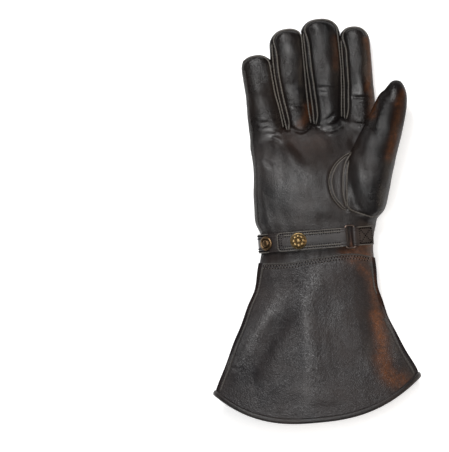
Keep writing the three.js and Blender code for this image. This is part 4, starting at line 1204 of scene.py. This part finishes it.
# Cuff.
LAP = table("along lap", [
    (-1, 2.6), (-0.8, 1), (-0.39, 0.6), (-0.1, 3.4), (0.1, 4.8),
    (0.4, 7.2), (0.64, 8.2), (0.85, 7.4), (1, 6.4),
])
CUFF_SEAM_FROM_EDGE = 3.4
CUFF_PROUD = 0.9
CUFF_EDGE = 0.7
# The cuff seam's two rows of stitches: distance from the edge and start. A dark dash of painted shade stands
# for the hole that follows each stitch.
CUFF_ROWS = ((2.3, 0.8), (4.6, 2.1))
CUFF_STITCH = {"length": 1.7, "radius": 0.36}
CUFF_HOLE_SHADE = {"length": 1.1, "radius": 0.58}
HOLE_AFTER = 1.65


def cuff_turns(share):
    """Angles of the two side seams, which run on the palm side just inside the edges."""
    section = cuff_section(share)
    at = 1 - CUFF_SEAM_FROM_EDGE / section["half_width"]
    turn = math.acos(at ** (section["squareness"] / 2))
    return turn, math.pi - turn, 2 * math.pi + turn


def cuff_rows(shares, side, count):
    """Points of one panel row by row: first where it laps over the hand, then down to the mouth."""
    def angles_at(share):
        turns = cuff_turns(share)
        return np.linspace(turns[side], turns[side + 1], count)

    lap = sample(LAP, "lap", signed_power(np.cos(angles_at(0.0)), 2 / HAND_SQUARENESS))
    rows = [
        [section_points(hand_section(step * reach / HAND_LENGTH), np.array([angle]), -CUFF_PROUD)[0]
         for reach, angle in zip(lap, angles_at(0.0))]
        for step in np.linspace(1, 0, 9)[:-1]
    ]
    for share in shares:
        proud = lerp(CUFF_PROUD, 0.0, smoothstep(0.0, 0.2, share))
        rows.append(section_points(cuff_section(share), angles_at(share), -proud))
    return np.array(rows)


def build_cuff():
    outer = []
    for side, name, count in ((0, "cuff_palm", 200), (1, "cuff_back", 220)):
        rows = cuff_rows(np.linspace(0.0, 1, 118), side, count)
        points = rows.reshape(-1, 3)
        faces = grid_faces(len(rows), count, looped=False)[:, ::-1]
        normals = vertex_normals(points, faces)
        if (normals[:, 2].mean() > 0) != (side == 0):
            faces = faces[:, ::-1]
            normals = -normals
        if side == 0:
            points = folded(points, normals, CUFF_FOLDS, 1)
        calm = smoothstep(-CUFF_LENGTH - 30, -CUFF_LENGTH - 10, points[:, 1])
        calm *= smoothstep(0.1, 0.7, np.abs(normals[:, 2]))
        points = points + normals * (uneven(points, 0.75) * calm)[:, None]
        normals = vertex_normals(points, faces)
        points[:, 2] = np.maximum(points[:, 2], 0.3)
        outer.append((points, faces.tolist()))
        # The back panel's upward faces, the strips beside the side seams, get painted shade.
        piece = skin_piece(name, points, faces, normals, LEATHER, upward_painted_shade=0.75 * side)
        finish(piece, CUFF_LEATHER, "cuff_leather", name)
    points, faces = joined(outer)
    return BVHTree.FromPolygons(points.tolist(), faces)


def build_binding():
    def middle(section):
        return (section_points(section, circle(420)) + section_points(section, circle(420), LEATHER)) / 2

    line = middle(cuff_section(1.0))
    around = unit(np.roll(line, -1, axis=0) - np.roll(line, 1, axis=0))
    onward = line - middle(cuff_section(0.96))
    onward = unit(onward - around * (onward * around).sum(1)[:, None])
    outward = np.cross(around, onward)
    u = signed_power(np.cos(circle(28)), 0.8) * BINDING_DIAMETER / 2
    low, high = -BINDING_LEG, SEAM_GAP + BINDING_DIAMETER / 2
    v = (high + low) / 2 + signed_power(np.sin(circle(28)), 0.8) * (high - low) / 2
    rings = line[:, None] + u[None, :, None] * outward[:, None] + v[None, :, None] * onward[:, None]
    points, faces = closed_rings(rings)
    points[:, 2] = np.maximum(points[:, 2], 0.0)
    finish(make_object("cuff_binding_roll", points, faces), HAND_LEATHER, "glove_leather", "cuff_binding")


def strap_line(path, pairs):
    """A line on a strap's upper face through pairs of distance along it and place across it."""
    path = along_path(path, 0.5)
    run = run_along(path)
    up = np.cross(strap_tangent(path), STRAP_SIDE)
    up = up * np.sign(up[:, 2:])
    reach = run_along(np.array(pairs, float))
    along, across = picked(np.linspace(0, reach[-1], int(reach[-1] / 0.5) + 2), reach, pairs).T
    normal = unit(picked(along, run, up))
    return picked(along, run, path) + np.outer(across, STRAP_SIDE) + normal * (STRAP_THICKNESS / 2), normal


def upper_layer(path):
    """The part of a folded strap's path that comes after its fold."""
    steps = np.diff(path, axis=0)
    turned = (steps[:-1] * steps[1:]).sum(1) < 0.97 * np.linalg.norm(steps[:-1], axis=1) * np.linalg.norm(
        steps[1:], axis=1)
    return path[np.flatnonzero(turned).max() + 1:]


def strap_threads(strap, tab):
    """Two rows of stitches along each edge of the strap, round its end, and a crossed box on the tab."""
    forms, edges = [], []

    def stitched(path, pairs, first=0.3):
        forms.extend(stitch_forms(*strap_line(path, pairs), first=first, **STRAP_STITCHES))

    def edged(path, pairs, width=0.9, height=0.25):
        edges.append(ridge_form(*strap_line(path, pairs), width=width, height=height))

    top, tab_top = upper_layer(strap), upper_layer(tab)
    low = strap[:len(strap) - len(top) - FOLD_POINTS]
    length = run_along(top)[-1]
    half = STRAP_WIDTH / 2
    rim = half - STRAP_RIM
    for row in STRAP_STITCH_ROWS:
        edge, end = half - row, length - row
        stitched(top, ((5, edge), (end - 1.5, edge), (end, edge - 1.5),
                       (end, 1.5 - edge), (end - 1.5, -edge), (5, -edge)))
    round_end = ((3, rim), (length - 3.2, rim), (length - 1.2, rim - 0.8), (length - 0.45, rim - 2.6))
    edged(top, round_end + tuple((along, -across) for along, across in round_end[::-1]))
    end = run_along(tab_top)[-1] - TAB_BOX_FROM_END
    for side in (-1, 1):
        across = side * (half - 2.8)
        edged(top, ((5, across), (length - 6, across)), 1.3, 0.35)
        edged(low, ((0.4, side * rim), (LOW_STITCHES_END, side * rim)))
        edged(tab_top, ((2.5, side * rim), (end + 1.4, side * rim)))
        for row in STRAP_STITCH_ROWS:
            edge = side * (half - row)
            stitched(low, ((0.8, edge), (LOW_STITCHES_END, edge)), first=0.8)
    begin, edge = TAB_BOX_START, half - STRAP_STITCH_ROWS[0]
    stitched(tab_top, ((begin, -edge), (begin, edge), (end, edge), (end, -edge), (begin, -edge)))
    stitched(tab_top, ((begin, -edge), (end, edge)))
    stitched(tab_top, ((begin, edge), (end, -edge)))
    finish(make_object("strap_thread", *joined(forms)), DARK_THREAD_AND_HOLE_SHADE, "cuff_leather")
    finish(make_object("strap_edges", *joined(edges)), HIGHLIT_SEAM_LEATHER, "cuff_leather")


STUD_PROFILE = (
    (0.02, 0), (0.96, 0), (1, 0.12), (1, 0.3), (0.95, 0.42), (0.88, 0.62), (0.81, 0.68), (0.74, 0.62),
    (0.68, 0.42), (0.6, 0.36), (0.53, 0.42), (0.47, 0.74), (0.4, 0.92), (0.28, 1), (0.02, 1))
ROSETTE_PROFILE = (
    (0.02, 0), (0.97, 0), (1, 0.1), (1, 0.26), (0.96, 0.36), (0.9, 0.4), (0.84, 0.44), (0.78, 0.6),
    (0.72, 0.72), (0.66, 0.8), (0.6, 0.84), (0.54, 0.85), (0.48, 0.82), (0.42, 0.74), (0.37, 0.62),
    (0.33, 0.62), (0.3, 0.74), (0.24, 0.9), (0.15, 0.98), (0.02, 1))


def build_strap():
    left_bar, right_bar = (bed_angle(RING_PLACE + side * RING_SPAN / 2) for side in (-1, 1))
    strap = folded_path(bed_angle(STRAP_START), left_bar, bed_angle(STRAP_TIP), 1)
    tab = folded_path(bed_angle(TAB_END - LEATHER), right_bar, bed_angle(TAB_END), -1)
    strap_threads(strap, tab)
    layer = STRAP_THICKNESS + SEAM_GAP
    stud = turned_form(STUD_PROFILE, STUD_DIAMETER, STUD_HEIGHT, STUD_PLACE, layer)
    rosette = turned_form(
        ROSETTE_PROFILE, ROSETTE_DIAMETER, ROSETTE_HEIGHT, ROSETTE_PLACE, 2 * layer, rosette_petals)
    for name, form, material, slot in (
            ("wrist_strap_leather", strap_form(strap, True), STRAP_LEATHER, "cuff_leather"),
            ("strap_tab_leather", strap_form(tab, False), STRAP_LEATHER, "cuff_leather"),
            ("strap_ring_wire", ring_form(), BRONZE, "ring_wire"),
            ("snap_stud_metal", stud, OLD_BRASS, "snap_brass"),
            ("snap_rosette_metal", rosette, BRASS, "snap_brass")):
        finish(make_object(name, *form), material, slot, name.rsplit("_", 1)[0])


# Seams and stitches.
def laid(tree, line, facing=1):
    """A line of the plan laid on leather from above or below, with the leather's normals along it."""
    places, normals = [], []
    for x, y in curved(line, 0.6):
        hit, normal, _, _ = tree.ray_cast(Vector((x, y, 90 if facing > 0 else -10)), Vector((0, 0, -facing)))
        if hit is not None:
            places.append(hit)
            normals.append(normal if normal.z * facing > 0 else -normal)
    places, normals = np.array(places), np.array(normals)
    for _ in range(4):
        for row in (places, normals):
            row[1:-1] = (row[:-2] + row[1:-1] * 2 + row[2:]) / 4
    return places, unit(normals)


def ridge_form(places, normals, width=RIDGE_WIDTH, height=RIDGE_HEIGHT):
    """A raised seam: two turned edges side by side, drawn together at each stitch and fading at its ends."""
    tangent = unit(np.gradient(places, axis=0))
    side = unit(np.cross(tangent, normals))
    out = unit(np.cross(side, tangent))
    run = run_along(places)
    turn = np.linspace(0, math.pi, 15)
    across = np.cos(turn)
    rise = np.sin(turn) ** 0.7 * (1 - 0.35 * hump(across, 0.2))
    rings = []
    for place, s, o, at in zip(places, side, out, run):
        pull = 1 - 0.4 * hump((at / STITCH_PITCH) % 1 - 0.5, 0.16)
        end = min(1.0, 0.25 + min(at, run[-1] - at) / 2)
        top = np.outer(across * width / 2 * end * pull, s) + np.outer(rise * height * end * pull, o)
        bottom = np.outer(across[[-1, 7, 0]] * width / 2 * end, s) - 0.5 * o
        rings.append(place + np.concatenate([top, bottom]))
    return tube(rings)


def stitch_forms(places, normals, length=1.9, pitch=STITCH_PITCH, radius=THREAD, sink=0.0, first=0.8):
    """Stitches along a line as short lengths of thread that dip into the leather at their ends."""
    run = run_along(places)
    turn = circle(6)
    bulge = np.sin(np.linspace(0, math.pi, 6)) ** 0.5
    forms = []
    for start in np.arange(first, run[-1] - length, pitch):
        at = start + np.linspace(0, length, 6)
        up = unit(picked(at, run, normals))
        line = picked(at, run, places) + up * ((bulge - 0.75) * radius * 1.3 - sink)[:, None]
        side = unit(np.cross(unit(np.gradient(line, axis=0)), up))
        forms.append(tube([
            c + (np.outer(np.cos(turn), s) + np.outer(np.sin(turn), u)) * radius * (0.45 + 0.55 * b)
            for c, s, u, b in zip(line, side, up, bulge)]))
    return forms


def finger_line(finger, places):
    """Plan points of (distance, across) pairs on a finger."""
    return [
        (finger["root"] + finger["forward"] * d + finger["side"] * (a + finger_measures(finger, d)[2]))[:2]
        for d, a in places]


def front_arch(k):
    """The seam round a finger's front: up its left side, over the tip and down its right side."""
    finger = PLACED[k]
    straight = finger["length"] - TIP_ROUNDING
    reach = straight + (TIP_ROUNDING - TIP_FROM_EDGE) * np.sin(np.linspace(0.0, math.pi / 2, 9))
    left, right = (
        [(d, front_edges(k, d)[side]) for d in np.concatenate(
            [np.linspace(SEAM_STARTS[k][side], straight - 3, 12), reach[:-1] - 0.01])]
        for side in (0, 1))
    right = right[::-1]
    if k == 0:
        half = {d: finger_measures(finger, d)[0] for d, _ in left}
        left = [
            (d, a * (half[d] - ULNAR_FROM_EDGE) / (half[d] - FRONT_FROM_EDGE))
            for d, a in left if d > straight]
    if k == 3:
        right = [(d, a) for d, a in right if d > straight + 0.1 * TIP_ROUNDING]
    return finger_line(finger, left + [(reach[-1], (left[-1][1] + right[0][1]) / 2)] + right)


def side_line(k, side, from_edge, start, count=14):
    """A line along a finger's side, up to where its tip rounds off."""
    finger = PLACED[k]
    along = np.linspace(start, finger["length"] - TIP_ROUNDING, count)
    return finger_line(finger, [(d, side * (finger_measures(finger, d)[0] - from_edge)) for d in along])


def ulnar_line():
    """The outer seam from the wrist up to the little finger's tip."""
    shares = np.linspace(0.03, 0.97, 16)
    hand = np.stack([hand_measures(shares)[0] + ULNAR_FROM_EDGE, shares * HAND_LENGTH], axis=1)
    return [*hand, *side_line(0, -1, ULNAR_FROM_EDGE, 6, 9)]


def hand_seam_lines():
    lines = [front_arch(k) for k in range(4)]
    lines += [side_line(k, -1, OUTER_FROM_EDGE, SEAM_STARTS[k][0] + 0.6) for k in (1, 2, 3)]
    return lines + [THUMB_SEAM[1:], QUIRK_SEAM, INNER_SEAM]


def beside(line, away):
    return [(x + away, y) for x, y in line]


def build_seams(hand, cuff):
    ridges, threads, hole_shades = [], [], []
    for line in hand_seam_lines():
        ridges.append(ridge_form(*laid(hand, line), width=0.95 if line is QUIRK_SEAM else RIDGE_WIDTH))
    ridges.append(ridge_form(*laid(hand, beside(QUIRK_SEAM[1:-1], 2.5)), width=0.95, height=0.45))
    for line in TUCKS:
        ridges.append(ridge_form(*laid(hand, line, -1), width=1.6, height=0.5))
        for away in (-1.5, 1.5):
            threads += stitch_forms(*laid(hand, beside(line, away), -1), sink=0.05)
    for k, side in ((0, 1), (1, -1), (1, 1), (2, -1), (2, 1), (3, -1)):
        ridges.append(ridge_form(*laid(hand, side_line(k, side, BACK_FROM_EDGE, -8), -1), height=0.5))
    finish(make_object("hand_seams", *joined(ridges)), HIGHLIT_SEAM_LEATHER, "glove_leather")
    outer = ridge_form(*laid(hand, ulnar_line()), width=1.7, height=0.5)
    finish(make_object("outer_seam", *outer), HAND_LEATHER, "glove_leather")

    ridges = []
    for side, facing in ((0, 1), (1, -1)):
        panel = np.swapaxes(cuff_rows([0.0, 0.02, 0.04, 0.06], side, 160), 0, 1)[3:-3]

        def round_cuff(away):
            line = [picked([away], run_along(path), path)[0, :2] for path in panel]
            return laid(cuff, line, facing)

        ridges.append(ridge_form(*round_cuff(CUFF_EDGE), width=1.5, height=0.6))
        for away, first in CUFF_ROWS:
            row = round_cuff(away)
            threads += stitch_forms(*row, first=first, **CUFF_STITCH)
            hole_shades += stitch_forms(*row, first=first + HOLE_AFTER, **CUFF_HOLE_SHADE)
    for side in (0, 1):
        line = [
            section_points(cuff_section(share), np.array([cuff_turns(share)[side]]))[0, :2]
            for share in np.linspace(0.0, 0.965, 30)]
        ridges.append(ridge_form(*laid(cuff, line), width=1.9, height=0.7))
    finish(make_object("cuff_seams", *joined(ridges)), EDGE_LEATHER, "cuff_leather")
    # The stitch holes are dark dashes of painted shade.
    for name, forms, material in (
            ("seam_thread", threads, THREAD_FINISH), ("seam_hole_shades", hole_shades, DARK_THREAD_AND_HOLE_SHADE)):
        points, faces = joined(forms)
        points[:, 2] = np.maximum(points[:, 2], 0.05)
        finish(make_object(name, points, faces), material, "cuff_leather")


make_camera()
make_studio()
hand_tree = build_hand()
cuff_tree = build_cuff()
build_seams(hand_tree, cuff_tree)
build_binding()
build_strap()
